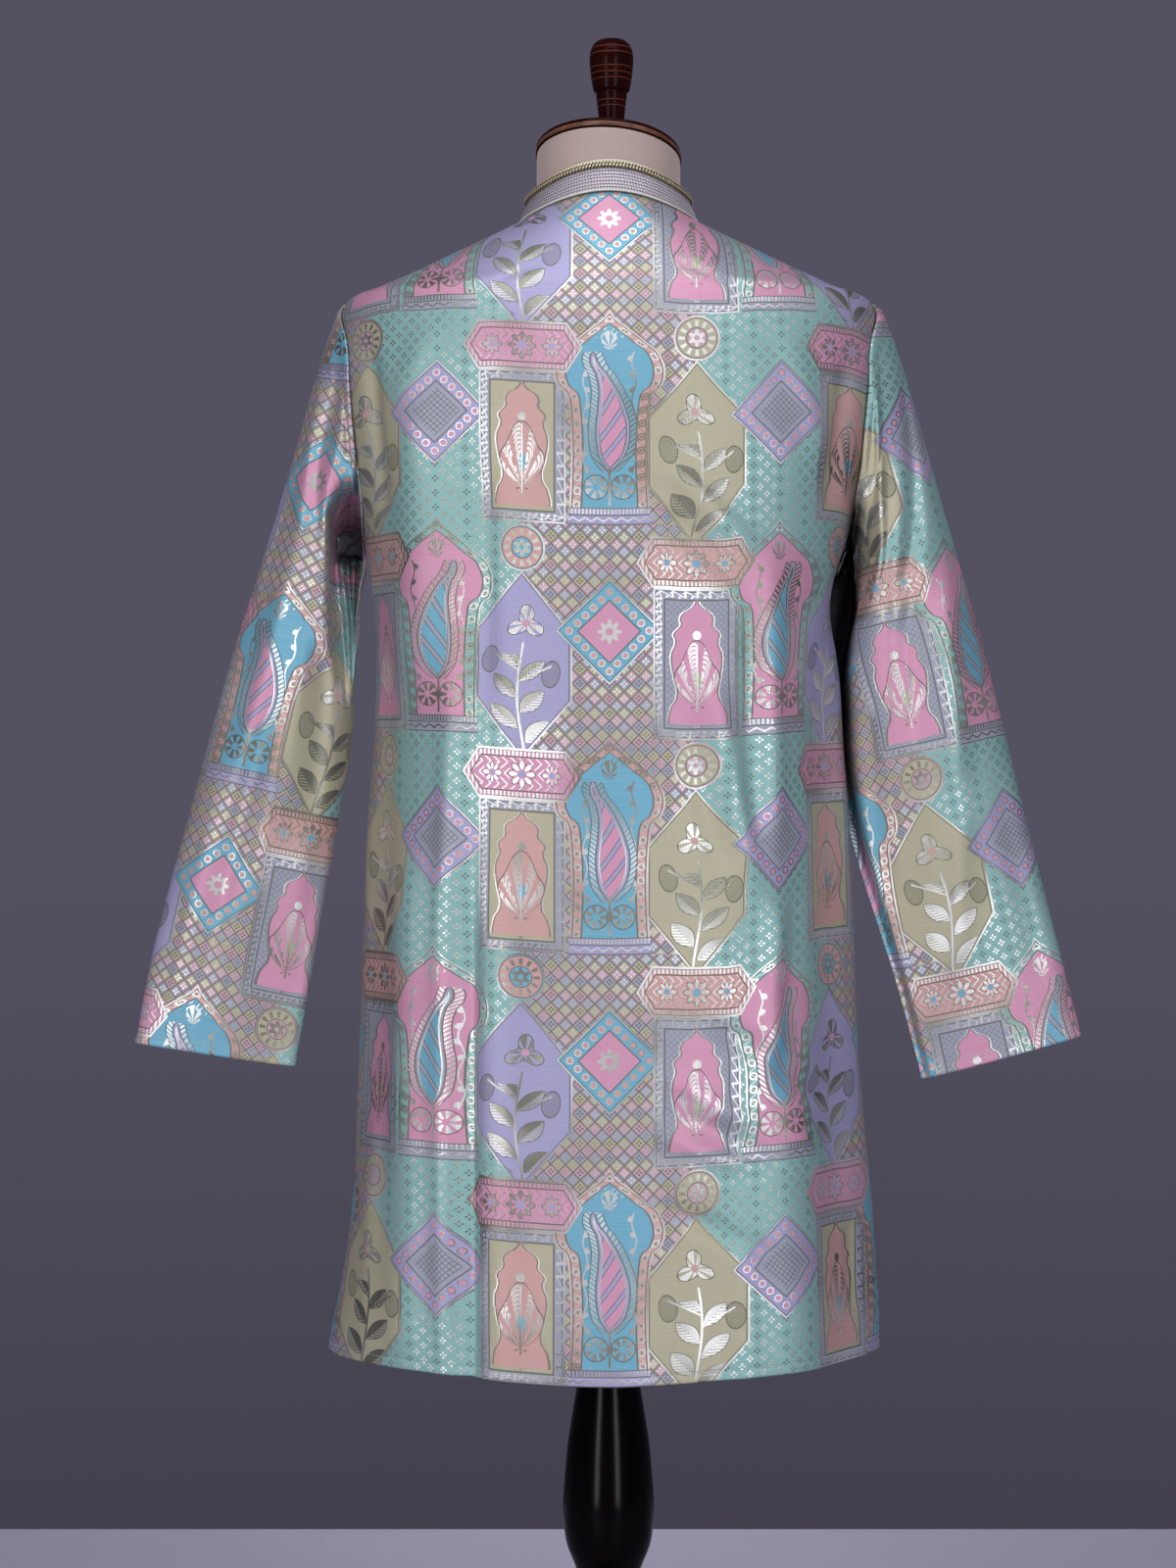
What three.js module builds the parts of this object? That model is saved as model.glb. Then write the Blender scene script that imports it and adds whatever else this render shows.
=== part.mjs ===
// A men's kurta with a band collar, worn by a limbless dress form on a turned wooden stand.
// Millimetres, +Z up. The floor is at Z 0, the wearer faces -Y and the wearer's left is +X.
// The cloth is modelled as walls: a front, a back, two sleeves, a collar and a placket.
import * as THREE from "three";
import { mergeVertices } from "three/addons/utils/BufferGeometryUtils.js";

// ---- driving sizes -------------------------------------------------------------------------

const CLOTH = 1.6; // brocade with its lining
const TRIM = 1.2; // embroidered tape and placket strip
const SEAM_GAP = 0.6; // between the edges of two panels at a seam
const ARMHOLE_GAP = 0.8; // between a panel's armhole and its sleeve
const LAY_GAP = 0.4; // between a panel and what lies on it
const HEM = 430; // height of the hem above the floor
const ARMPIT = 1112;
const SHOULDER = 1333; // height of the shoulder points
const NECK_SIDE = 1399; // height of the neck seam at the sides
const NECK_BACK = 1417;
const NECK_FRONT = 1370;
const COLLAR_OPENING = 7; // between the collar's ends at the centre front
const COLLAR_EDGE = 8.8; // depth of plain collar above the embroidered tape
const BRAID_RADIUS = 2.6;
const PLACKET_WIDTH = 34;
const PLACKET_BOTTOM = 1040; // height of its lower end
const CHEST_ARC = 262; // half width of the front panel along the cloth at the chest
const BUTTONS = 4;
const BUTTON_RADIUS = 6;
const BUTTON_HEIGHT = 3;
const GAP = 0.35; // between the pieces of the stand
const FORM_BOTTOM = 720;
const BASE_RADIUS = 190;
const BASE_HEIGHT = 30;

const ACROSS = 18; // faces across a body panel
const AROUND = 20; // faces around a sleeve
const TURNED = 24; // faces around the turned pieces

// ---- tables --------------------------------------------------------------------------------

// The worn body, from hem to neck seam. side, back and front are the heights of a section at the
// side seam, the centre back and the centre front. width, rear and fore are its half width and
// its depths behind and before the axis. square is the exponent of its oval: 2 is an ellipse.
// armhole is half the depth of the gap that the armhole cuts out of the section at the side.
const BODY = [
  { side: HEM + 11, back: HEM, front: HEM, width: 232, rear: 128, fore: 130, square: 2.2, armhole: 0 },
  { side: 476, back: 470, front: 470, width: 230, rear: 127, fore: 129, square: 2.2, armhole: 0 },
  { side: 540, back: 540, front: 540, width: 224, rear: 124, fore: 127, square: 2.25, armhole: 0 },
  { side: 620, back: 620, front: 620, width: 218, rear: 121, fore: 125, square: 2.3, armhole: 0 },
  { side: 710, back: 710, front: 710, width: 213, rear: 118, fore: 123, square: 2.3, armhole: 0 },
  { side: 800, back: 800, front: 800, width: 210, rear: 116, fore: 122, square: 2.35, armhole: 0 },
  { side: 880, back: 880, front: 880, width: 207, rear: 114, fore: 121, square: 2.35, armhole: 0 },
  { side: 960, back: 960, front: 960, width: 201, rear: 113, fore: 121, square: 2.35, armhole: 0 },
  { side: 1040, back: 1040, front: 1040, width: 199, rear: 114, fore: 122, square: 2.35, armhole: 0 },
  { side: ARMPIT, back: ARMPIT, front: ARMPIT, width: 205, rear: 117, fore: 124, square: 2.3, armhole: 0 },
  { side: 1150, back: 1150, front: 1150, width: 213, rear: 119, fore: 125, square: 2.25, armhole: 32 },
  { side: 1200, back: 1200, front: 1200, width: 225, rear: 120, fore: 124, square: 2.2, armhole: 45 },
  { side: 1255, back: 1255, front: 1255, width: 233, rear: 119, fore: 119, square: 2.15, armhole: 47 },
  { side: 1300, back: 1300, front: 1297, width: 232, rear: 114, fore: 110, square: 2.1, armhole: 36 },
  { side: SHOULDER, back: 1335, front: 1324, width: 224, rear: 105, fore: 101, square: 2.1, armhole: 0 },
  { side: 1344, back: 1356, front: 1336, width: 200, rear: 97, fore: 93, square: 2.05, armhole: 0 },
  { side: 1360, back: 1376, front: 1347, width: 164, rear: 88, fore: 85, square: 2, armhole: 0 },
  { side: 1379.5, back: 1396, front: 1358, width: 122, rear: 78, fore: 77, square: 2, armhole: 0 },
  {
    side: NECK_SIDE,
    back: NECK_BACK,
    front: NECK_FRONT,
    width: 77,
    rear: 66,
    fore: 69,
    square: 2,
    armhole: 0,
  },
];
const ARMPIT_ROW = BODY.findIndex((row) => row.side === ARMPIT);
const SHOULDER_ROW = BODY.findIndex((row) => row.side === SHOULDER);
const TOP_ROW = BODY.length - 1;

// Soft folds of the body. panel is 1 for the back and -1 for the front, at and reach are the
// fold's place and half width as shares of the half panel, wearer's left positive, low and high
// are the heights between which it shows, and rise is how far it stands out.
const FOLDS = [
  { panel: 1, at: 0.62, reach: 0.1, low: 380, high: 900, rise: 7 },
  { panel: 1, at: 0.84, reach: 0.09, low: 560, high: 1120, rise: -6 },
  { panel: 1, at: -0.55, reach: 0.12, low: 380, high: 760, rise: 5 },
  { panel: 1, at: -0.8, reach: 0.1, low: 380, high: 1100, rise: -6 },
  { panel: -1, at: 0.5, reach: 0.12, low: 380, high: 940, rise: 6 },
  { panel: -1, at: -0.58, reach: 0.12, low: 380, high: 860, rise: 7 },
  { panel: -1, at: 0.82, reach: 0.09, low: 420, high: 1100, rise: -6 },
  { panel: -1, at: -0.84, reach: 0.09, low: 420, high: 1060, rise: -5 },
];

// The hanging sleeves, from just below the armhole to the cuff. Each section runs from the outer
// fold of the sleeve to the underarm fold; x counts outwards from the body's axis. back and front
// are its half depths, and sag pushes the back in beside the underarm.
const SLEEVES = {
  left: [
    { outer_x: 232, outer_z: 1326, inner_x: 208.5, inner_z: 1101, back: 44, front: 44, sag: 0.0 },
    { outer_x: 242, outer_z: 1298, inner_x: 209, inner_z: 1086, back: 42, front: 42, sag: 0.2 },
    { outer_x: 254, outer_z: 1259, inner_x: 212.5, inner_z: 1068, back: 40, front: 40, sag: 0.5 },
    { outer_x: 268, outer_z: 1208, inner_x: 214, inner_z: 1048, back: 40, front: 38, sag: 0.75 },
    { outer_x: 283, outer_z: 1158, inner_x: 217, inner_z: 1024, back: 40, front: 37, sag: 0.7 },
    { outer_x: 299, outer_z: 1105, inner_x: 219.5, inner_z: 994, back: 39, front: 36, sag: 0.45 },
    { outer_x: 317, outer_z: 1050, inner_x: 222, inner_z: 958, back: 37, front: 35, sag: 0.2 },
    { outer_x: 337, outer_z: 980, inner_x: 229, inner_z: 912, back: 33, front: 31, sag: 0.0 },
    { outer_x: 358, outer_z: 902, inner_x: 238, inner_z: 856, back: 27, front: 26, sag: 0.0 },
    { outer_x: 377, outer_z: 832, inner_x: 248, inner_z: 796, back: 21, front: 20, sag: 0.0 },
    { outer_x: 393, outer_z: 768, inner_x: 258, inner_z: 737, back: 16, front: 15, sag: 0.0 },
    { outer_x: 405.5, outer_z: 700, inner_x: 269, inner_z: 680, back: 12, front: 11, sag: 0.0 },
  ],
  right: [
    { outer_x: 234, outer_z: 1328, inner_x: 208.5, inner_z: 1101, back: 44, front: 44, sag: 0.0 },
    { outer_x: 245, outer_z: 1300, inner_x: 209, inner_z: 1086, back: 42, front: 42, sag: 0.15 },
    { outer_x: 257, outer_z: 1262, inner_x: 209.5, inner_z: 1068, back: 41, front: 40, sag: 0.35 },
    { outer_x: 271, outer_z: 1214, inner_x: 210, inner_z: 1048, back: 42, front: 38, sag: 0.5 },
    { outer_x: 285, outer_z: 1164, inner_x: 210.5, inner_z: 1022, back: 42, front: 37, sag: 0.45 },
    { outer_x: 301, outer_z: 1109, inner_x: 211, inner_z: 990, back: 40, front: 36, sag: 0.25 },
    { outer_x: 318, outer_z: 1050, inner_x: 212, inner_z: 952, back: 38, front: 35, sag: 0.1 },
    { outer_x: 336, outer_z: 980, inner_x: 216, inner_z: 904, back: 33, front: 31, sag: 0.0 },
    { outer_x: 355, outer_z: 902, inner_x: 224, inner_z: 848, back: 27, front: 26, sag: 0.0 },
    { outer_x: 373, outer_z: 832, inner_x: 237, inner_z: 788, back: 21, front: 20, sag: 0.0 },
    { outer_x: 389, outer_z: 770, inner_x: 253, inner_z: 730, back: 16, front: 15, sag: 0.0 },
    { outer_x: 405.5, outer_z: 706, inner_x: 269, inner_z: 669, back: 12, front: 11, sag: 0.0 },
  ],
};

// The collar, from the neck seam to its top edge, in the body's terms.
const COLLAR = [
  { side: NECK_SIDE + 0.6, back: NECK_BACK + 0.6, front: NECK_FRONT + 0.6, width: 76.5, rear: 66, fore: 69 },
  { side: 1411, back: 1430.5, front: 1384.5, width: 71.3, rear: 63.5, fore: 66.5 },
  { side: 1423, back: 1444, front: 1398, width: 65.8, rear: 61, fore: 65 },
];

// The dress form inside, from hip to the top of the neck, in the body's terms.
const FORM = [
  { side: FORM_BOTTOM, back: FORM_BOTTOM, front: FORM_BOTTOM, width: 150, rear: 96, fore: 92, square: 2.3 },
  { side: 740, back: 740, front: 740, width: 164, rear: 106, fore: 100, square: 2.3 },
  { side: 800, back: 800, front: 800, width: 170, rear: 107, fore: 103, square: 2.3 },
  { side: 880, back: 880, front: 880, width: 165, rear: 98, fore: 102, square: 2.3 },
  { side: 960, back: 960, front: 960, width: 155, rear: 90, fore: 101, square: 2.3 },
  { side: 1040, back: 1040, front: 1040, width: 158, rear: 96, fore: 106, square: 2.3 },
  { side: 1112, back: 1112, front: 1112, width: 166, rear: 106, fore: 115, square: 2.3 },
  { side: 1180, back: 1180, front: 1180, width: 173, rear: 114, fore: 119, square: 2.3 },
  { side: 1240, back: 1240, front: 1240, width: 181, rear: 115.5, fore: 116, square: 2.2 },
  { side: 1285, back: 1288, front: 1284, width: 196, rear: 111.5, fore: 108.5, square: 2.1 },
  { side: 1316, back: 1324, front: 1314, width: 207, rear: 104.5, fore: 100.5, square: 2.1 },
  { side: 1334, back: 1342, front: 1326, width: 206, rear: 98.4, fore: 94.5, square: 2.1 },
  { side: 1344, back: 1356, front: 1335, width: 194, rear: 93, fore: 89, square: 2.05 },
  { side: 1359, back: 1376, front: 1346, width: 160, rear: 84, fore: 81, square: 2 },
  { side: 1377.2, back: 1395.6, front: 1357.4, width: 118, rear: 73.6, fore: 72.6, square: 2 },
  { side: 1393.2, back: 1412.6, front: 1371.4, width: 76.5, rear: 63.2, fore: 64.2, square: 2 },
  { side: 1408, back: 1425, front: 1389, width: 64.5, rear: 59, fore: 61.5, square: 2 },
  { side: 1432, back: 1447, front: 1416, width: 61.5, rear: 56.5, fore: 61, square: 2 },
];
// The neck's flat top leans forward by its slope and a little sideways by its lean.
const CAP = { height: 1457, slope: 0.255, lean: 0.05, radius: 61.5, rim: 62.5, thick: 8.3, middle_y: -3 };

// Turned pieces, from bottom to top, as radius and height.
const KNOB_X = -2.5; // the knob stands a little off the middle of the cap
const KNOB = [
  { radius: 10.6, z: 1483 },
  { radius: 11.1, z: 1493 },
  { radius: 12.1, z: 1502 },
  { radius: 13.0, z: 1510 },
  { radius: 13.4, z: 1515 },
  { radius: 15.6, z: 1516.5 },
  { radius: 17.4, z: 1526 },
  { radius: 18.6, z: 1537 },
  { radius: 18.8, z: 1545 },
  { radius: 17.2, z: 1552.5 },
  { radius: 13, z: 1557.7 },
  { radius: 7, z: 1560.2 },
];
const COLUMN = [
  { radius: 44, z: BASE_HEIGHT + GAP },
  { radius: 40, z: 44 },
  { radius: 27, z: 58 },
  { radius: 22, z: 84 },
  { radius: 24, z: 128 },
  { radius: 33, z: 150 },
  { radius: 35, z: 160 },
  { radius: 32, z: 170 },
  { radius: 23, z: 186 },
  { radius: 21, z: 206 },
  { radius: 22, z: 226 },
  { radius: 28, z: 251 },
  { radius: 35.4, z: 270 },
  { radius: 38.4, z: 288 },
  { radius: 39, z: 306 },
  { radius: 37.8, z: 326 },
  { radius: 34.6, z: 360 },
  { radius: 27.5, z: 405 },
  { radius: 24, z: 432 },
  { radius: 19, z: 500 },
  { radius: 17, z: 600 },
  { radius: 17, z: FORM_BOTTOM - GAP },
];
const BASE = [
  { radius: BASE_RADIUS - 4, z: 0 },
  { radius: BASE_RADIUS, z: 4 },
  { radius: BASE_RADIUS, z: 10 },
  { radius: BASE_RADIUS - 6, z: 17 },
  { radius: BASE_RADIUS - 26, z: 21 },
  { radius: 80, z: 26 },
  { radius: 56, z: BASE_HEIGHT },
];

// ---- helpers -------------------------------------------------------------------------------

const lerp = (a, b, t) => a + (b - a) * t;
const smooth = (t) => {
  const c = Math.min(1, Math.max(0, t));
  return c * c * (3 - 2 * c);
};

// The smooth value of a table's column at a place counted in rows.
function valueAt(rows, column, place) {
  const i = Math.min(rows.length - 2, Math.max(0, Math.floor(place)));
  const t = place - i;
  const at = (k) => rows[Math.min(rows.length - 1, Math.max(0, k))][column];
  const [before, from, to, after] = [at(i - 1), at(i), at(i + 1), at(i + 2)];
  const [out, into] = [(to - before) / 2, (after - from) / 2];
  return (
    (2 * t ** 3 - 3 * t ** 2 + 1) * from +
    (t ** 3 - 2 * t ** 2 + t) * out +
    (3 * t ** 2 - 2 * t ** 3) * to +
    (t ** 3 - t ** 2) * into
  );
}

// Radius of an oval with half width, depth and exponent, at an angle from its depth axis.
function ovalRadius(width, depth, square, angle) {
  const across = Math.abs(Math.sin(angle)) / width;
  const along = Math.abs(Math.cos(angle)) / depth;
  return (across ** square + along ** square) ** (-1 / square);
}

// The angle at a share of the arc of an oval from its depth axis to endAngle.
const ARC_STEPS = 60;
function angleAtShare(width, depth, square, endAngle, share) {
  const lengths = [0];
  let last = [0, ovalRadius(width, depth, square, 0)];
  for (let k = 1; k <= ARC_STEPS; k++) {
    const angle = (endAngle * k) / ARC_STEPS;
    const r = ovalRadius(width, depth, square, angle);
    const next = [r * Math.sin(angle), r * Math.cos(angle)];
    lengths.push(lengths[k - 1] + Math.hypot(next[0] - last[0], next[1] - last[1]));
    last = next;
  }
  const wanted = lengths[ARC_STEPS] * share;
  let k = 1;
  while (k < ARC_STEPS && lengths[k] < wanted) k++;
  const t = (wanted - lengths[k - 1]) / (lengths[k] - lengths[k - 1]);
  return (endAngle * (k - 1 + t)) / ARC_STEPS;
}

// How far the folds of a panel stand out at a share across it and a height.
function foldRise(panel, share, height) {
  let rise = 0;
  for (const fold of FOLDS) {
    if (fold.panel !== panel) continue;
    const away = (share - fold.at) / fold.reach;
    const middle = (fold.low + fold.high) / 2;
    const half = (fold.high - fold.low) / 2;
    const fade = smooth((1 - Math.abs(height - middle) / half) * 2.5);
    rise += fold.rise * Math.exp(-away * away) * fade;
  }
  return rise;
}

// A point of the worn body. panel is 1 for the back and -1 for the front, share runs across the
// panel from -1 to 1, and place is counted in rows of the table.
function bodyPoint(panel, share, place) {
  const value = (column) => valueAt(BODY, column, place);
  const width = value("width");
  const depth = value(panel > 0 ? "rear" : "fore");
  const square = value("square");
  const slit = value("side") < 700 ? (700 - value("side")) * 0.012 : 0;
  const edge = Math.max(SEAM_GAP / 2 + slit, value("armhole"));
  const edgeX = width * (1 - (edge / depth) ** square) ** (1 / square);
  const angle = angleAtShare(width, depth, square, Math.atan2(edgeX, edge), Math.abs(share));
  const middle = panel > 0 ? value("back") : value("front");
  const height = lerp(value("side"), middle, Math.cos(angle) ** 2);
  const r = ovalRadius(width, depth, square, angle) + foldRise(panel, share, height);
  return new THREE.Vector3(
    Math.sign(share) * r * Math.sin(angle),
    panel * r * Math.cos(angle),
    height,
  );
}

// A point of a closed ring of the collar or the form at an angle from the centre back towards
// the wearer's left. Its height follows the square of its place between side and middle.
function ringPoint(rows, angle, place, square = 2) {
  const value = (column) => valueAt(rows, column, place);
  const behind = Math.cos(angle) > 0;
  const r = ovalRadius(value("width"), value(behind ? "rear" : "fore"), square, angle);
  const height = lerp(value("side"), value(behind ? "back" : "front"), Math.cos(angle) ** 2);
  return new THREE.Vector3(r * Math.sin(angle), r * Math.cos(angle), height);
}

// The outward normal of a surface point(a, b) at a and b, turned by hand to 1 or -1.
function normalAt(point, a, b, stepA, stepB, hand) {
  const alongA = point(a + stepA, b).sub(point(a - stepA, b));
  const alongB = point(a, b + stepB).sub(point(a, b - stepB));
  return alongA.cross(alongB).normalize().multiplyScalar(hand);
}

const bodyNormal = (panel, share, place) =>
  normalAt(
    (s, p) => bodyPoint(panel, s, p),
    Math.min(0.98, Math.max(-0.98, share)),
    Math.min(TOP_ROW - 0.02, Math.max(0.02, place)),
    0.02,
    0.02,
    -panel,
  );

// A closed wall between an outer and an inner grid of points, grid[row][column]. A ring grid
// closes on itself across its columns.
function wall(outer, inner, ring = false) {
  const rows = outer.length;
  const columns = outer[0].length;
  const across = ring ? columns : columns - 1;
  const vertices = [...outer.flat(), ...inner.flat()];
  const at = (layer, i, j) => layer * rows * columns + i * columns + (j % columns);
  const faces = [];
  const quad = (a, b, c, d) => faces.push(a, b, c, a, c, d);
  for (let i = 0; i + 1 < rows; i++)
    for (let j = 0; j < across; j++) {
      quad(at(0, i, j), at(0, i, j + 1), at(0, i + 1, j + 1), at(0, i + 1, j));
      quad(at(1, i, j), at(1, i + 1, j), at(1, i + 1, j + 1), at(1, i, j + 1));
    }
  for (let j = 0; j < across; j++) {
    const last = rows - 1;
    quad(at(0, 0, j), at(1, 0, j), at(1, 0, j + 1), at(0, 0, j + 1));
    quad(at(0, last, j), at(0, last, j + 1), at(1, last, j + 1), at(1, last, j));
  }
  if (!ring)
    for (let i = 0; i + 1 < rows; i++) {
      const last = columns - 1;
      quad(at(0, i, 0), at(0, i + 1, 0), at(1, i + 1, 0), at(1, i, 0));
      quad(at(0, i, last), at(1, i, last), at(1, i + 1, last), at(0, i + 1, last));
    }
  return faced(vertices, faces);
}

// A closed geometry from vertices and triangles, turned so that its faces point out.
function faced(vertices, faces) {
  const geometry = new THREE.BufferGeometry().setFromPoints(vertices);
  let volume = 0;
  for (let k = 0; k < faces.length; k += 3) {
    const [a, b, c] = [0, 1, 2].map((m) => vertices[faces[k + m]]);
    volume += a.dot(b.clone().cross(c));
  }
  if (volume < 0)
    for (let k = 0; k < faces.length; k += 3)
      [faces[k], faces[k + 1]] = [faces[k + 1], faces[k]];
  geometry.setIndex(faces);
  return geometry;
}

// A closed body from stacked rings of points, with flat ends.
function stacked(rings) {
  const columns = rings[0].length;
  const vertices = rings.flat();
  const middle = (ring) =>
    ring.reduce((sum, p) => sum.add(p), new THREE.Vector3()).divideScalar(columns);
  const bottom = vertices.push(middle(rings[0])) - 1;
  const top = vertices.push(middle(rings[rings.length - 1])) - 1;
  const faces = [];
  for (let j = 0; j < columns; j++) {
    const next = (j + 1) % columns;
    for (let i = 0; i + 1 < rings.length; i++) {
      const [a, b] = [i * columns, (i + 1) * columns];
      faces.push(a + j, a + next, b + next, a + j, b + next, b + j);
    }
    const last = (rings.length - 1) * columns;
    faces.push(bottom, next, j, top, last + j, last + next);
  }
  return faced(vertices, faces);
}

const part = new THREE.Group();
function add(name, geometry, colour, roughness, metalness = 0) {
  const material = new THREE.MeshStandardMaterial({ color: colour, roughness, metalness });
  const mesh = new THREE.Mesh(geometry, material);
  mesh.name = name;
  part.add(mesh);
  return mesh;
}

// ---- body panels ---------------------------------------------------------------------------

// A strip or a whole panel of the worn body between given shares and places, as a wall whose
// back lies a distance off the panel's outer face.
function bodyWall(panel, shares, places, off, thick) {
  const layer = (distance) =>
    places.map((place) =>
      shares.map((share) =>
        bodyPoint(panel, share, place).addScaledVector(bodyNormal(panel, share, place), distance),
      ),
    );
  return wall(layer(off + thick), layer(off));
}

// The places of a panel's rows of points upwards from a row: every row below the armpit, and
// halfway between the rows too above it.
function panelPlaces(from) {
  const places = [];
  for (let row = from; row <= TOP_ROW; row += row < ARMPIT_ROW ? 1 : 0.5) places.push(row);
  return places;
}

function bodyPanel(panel) {
  const shares = Array.from({ length: ACROSS + 1 }, (_, j) => (2 * j) / ACROSS - 1);
  return bodyWall(panel, shares, panelPlaces(0), -CLOTH, CLOTH);
}
add("back", bodyPanel(1), "#9fb3a8", 0.55);
add("front", bodyPanel(-1), "#9fb3a8", 0.55);

// ---- sleeves -------------------------------------------------------------------------------

// The armhole seam as a ring of points that starts at the shoulder and runs down the back, with
// the panels' normals. It lies a seam gap off the panels' edges, and at the underarm it is
// lifted off the panels, because the sleeve hangs down over them there.
function armholeRing(hand) {
  const points = [];
  const normals = [];
  for (let j = 0; j < AROUND; j++) {
    const panel = j <= AROUND / 2 ? 1 : -1;
    const down = 1 - Math.abs(1 - (2 * j) / AROUND);
    const place = lerp(SHOULDER_ROW, ARMPIT_ROW, down);
    const edge = bodyPoint(panel, hand, place);
    const normal = bodyNormal(panel, hand * 0.97, place);
    const off = edge.clone().sub(bodyPoint(panel, hand * 0.97, place)).normalize();
    if (j === 0 || j === AROUND / 2) {
      edge.y = 0;
      off.set(hand, 0, 0);
      normal.setY(0).normalize();
    }
    const lift = smooth((down - 0.6) / 0.25);
    edge.addScaledVector(off, ARMHOLE_GAP);
    edge.addScaledVector(normal, (CLOTH + LAY_GAP) * lift);
    points.push(edge);
    normals.push(normal);
  }
  return { points, normals };
}

// One section of a sleeve, as a ring that starts at the outer fold and runs round the back.
function sleeveRing(hand, rows, place) {
  const value = (column) => valueAt(rows, column, place);
  const outer = new THREE.Vector3(hand * value("outer_x"), 0, value("outer_z"));
  const under = new THREE.Vector3(hand * value("inner_x"), 0, value("inner_z"));
  const middle = outer.clone().lerp(under, 0.5);
  const half = outer.clone().sub(under).multiplyScalar(0.5);
  const ring = [];
  for (let j = 0; j < AROUND; j++) {
    const turn = (2 * Math.PI * j) / AROUND;
    const behind = turn < Math.PI;
    const depth = behind ? value("back") : value("front");
    const hollow = Math.exp(-(((turn - 2.15) / 0.45) ** 2)) * value("sag");
    const point = middle.clone().addScaledVector(half, Math.cos(turn));
    point.y = Math.sin(turn) * depth * (1 - hollow);
    ring.push(point);
  }
  return ring;
}

function sleeve(side) {
  const hand = side === "left" ? 1 : -1;
  const rows = SLEEVES[side];
  const seam = armholeRing(hand);
  const outer = [seam.points, ...rows.map((_, place) => sleeveRing(hand, rows, place))];
  const inner = outer.map((ring, i) =>
    ring.map((point, j) => {
      if (i === 0) return point.clone().addScaledVector(seam.normals[j], -CLOTH);
      const last = outer.length - 1;
      const along = outer[Math.min(last, i + 1)][j].clone().sub(outer[i - 1][j]);
      const round = ring[(j + 1) % AROUND].clone().sub(ring[(j + AROUND - 1) % AROUND]);
      const normal = along.cross(round).normalize().multiplyScalar(-hand);
      return point.clone().addScaledVector(normal, -CLOTH);
    }),
  );
  return wall(outer, inner, true);
}
add("sleeve_left", sleeve("left"), "#9fb3a8", 0.55);
add("sleeve_right", sleeve("right"), "#9fb3a8", 0.55);

// ---- collar --------------------------------------------------------------------------------

const COLLAR_FACES = 36;
const collarPoint = (angle, place) => ringPoint(COLLAR, angle, place);
const collarNormal = (angle, place) =>
  normalAt(collarPoint, angle, Math.min(1.98, Math.max(0.02, place)), 0.02, 0.02, -1);

// A band round the collar between two places of its table, off the collar's outer face.
function collarBand(low, high, off, thick, opening) {
  const end = Math.PI - opening / 2 / 66;
  const angles = Array.from({ length: COLLAR_FACES + 1 }, (_, j) => end * ((2 * j) / COLLAR_FACES - 1));
  const places = [low, (low + high) / 2, high];
  const layer = (distance) =>
    places.map((place) =>
      angles.map((angle) =>
        collarPoint(angle, place).addScaledVector(collarNormal(angle, place), distance),
      ),
    );
  return wall(layer(off + thick), layer(off));
}
const collarSlant = 27; // height of the collar along its slope
const edgePlace = 2 - (2 * COLLAR_EDGE) / collarSlant;
add("collar", collarBand(0, 2, -CLOTH, CLOTH, COLLAR_OPENING), "#8f949a", 0.6);
add(
  "collar_trim",
  collarBand(0.1, edgePlace, LAY_GAP, TRIM, COLLAR_OPENING),
  "#b7b0c0",
  0.6,
);

// The braid is a cord that lies on the collar above the tape.
function braid() {
  const end = Math.PI - COLLAR_OPENING / 2 / 66;
  const place = edgePlace + (2 * (BRAID_RADIUS + GAP)) / collarSlant;
  const rings = [];
  for (let j = 0; j <= COLLAR_FACES; j++) {
    const angle = end * ((2 * j) / COLLAR_FACES - 1);
    const normal = collarNormal(angle, place);
    const up = collarPoint(angle, place + 0.05).sub(collarPoint(angle, place - 0.05)).normalize();
    const middle = collarPoint(angle, place).addScaledVector(normal, LAY_GAP + BRAID_RADIUS);
    const ring = [];
    for (let k = 0; k < 8; k++) {
      const turn = (Math.PI * k) / 4;
      ring.push(
        middle
          .clone()
          .addScaledVector(normal, BRAID_RADIUS * Math.cos(turn))
          .addScaledVector(up, BRAID_RADIUS * Math.sin(turn)),
      );
    }
    rings.push(ring);
  }
  return stacked(rings);
}
add("collar_braid", braid(), "#8c845a", 0.45, 0.3);

// ---- placket and buttons -------------------------------------------------------------------

const PLACKET_ROW = BODY.findIndex((row) => row.side === PLACKET_BOTTOM);
const placketShares = [-1, 0, 1].map((side) => (side * PLACKET_WIDTH) / 2 / CHEST_ARC);
add(
  "placket",
  bodyWall(-1, placketShares, panelPlaces(PLACKET_ROW), LAY_GAP, TRIM),
  "#b9c49a",
  0.6,
);

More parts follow.
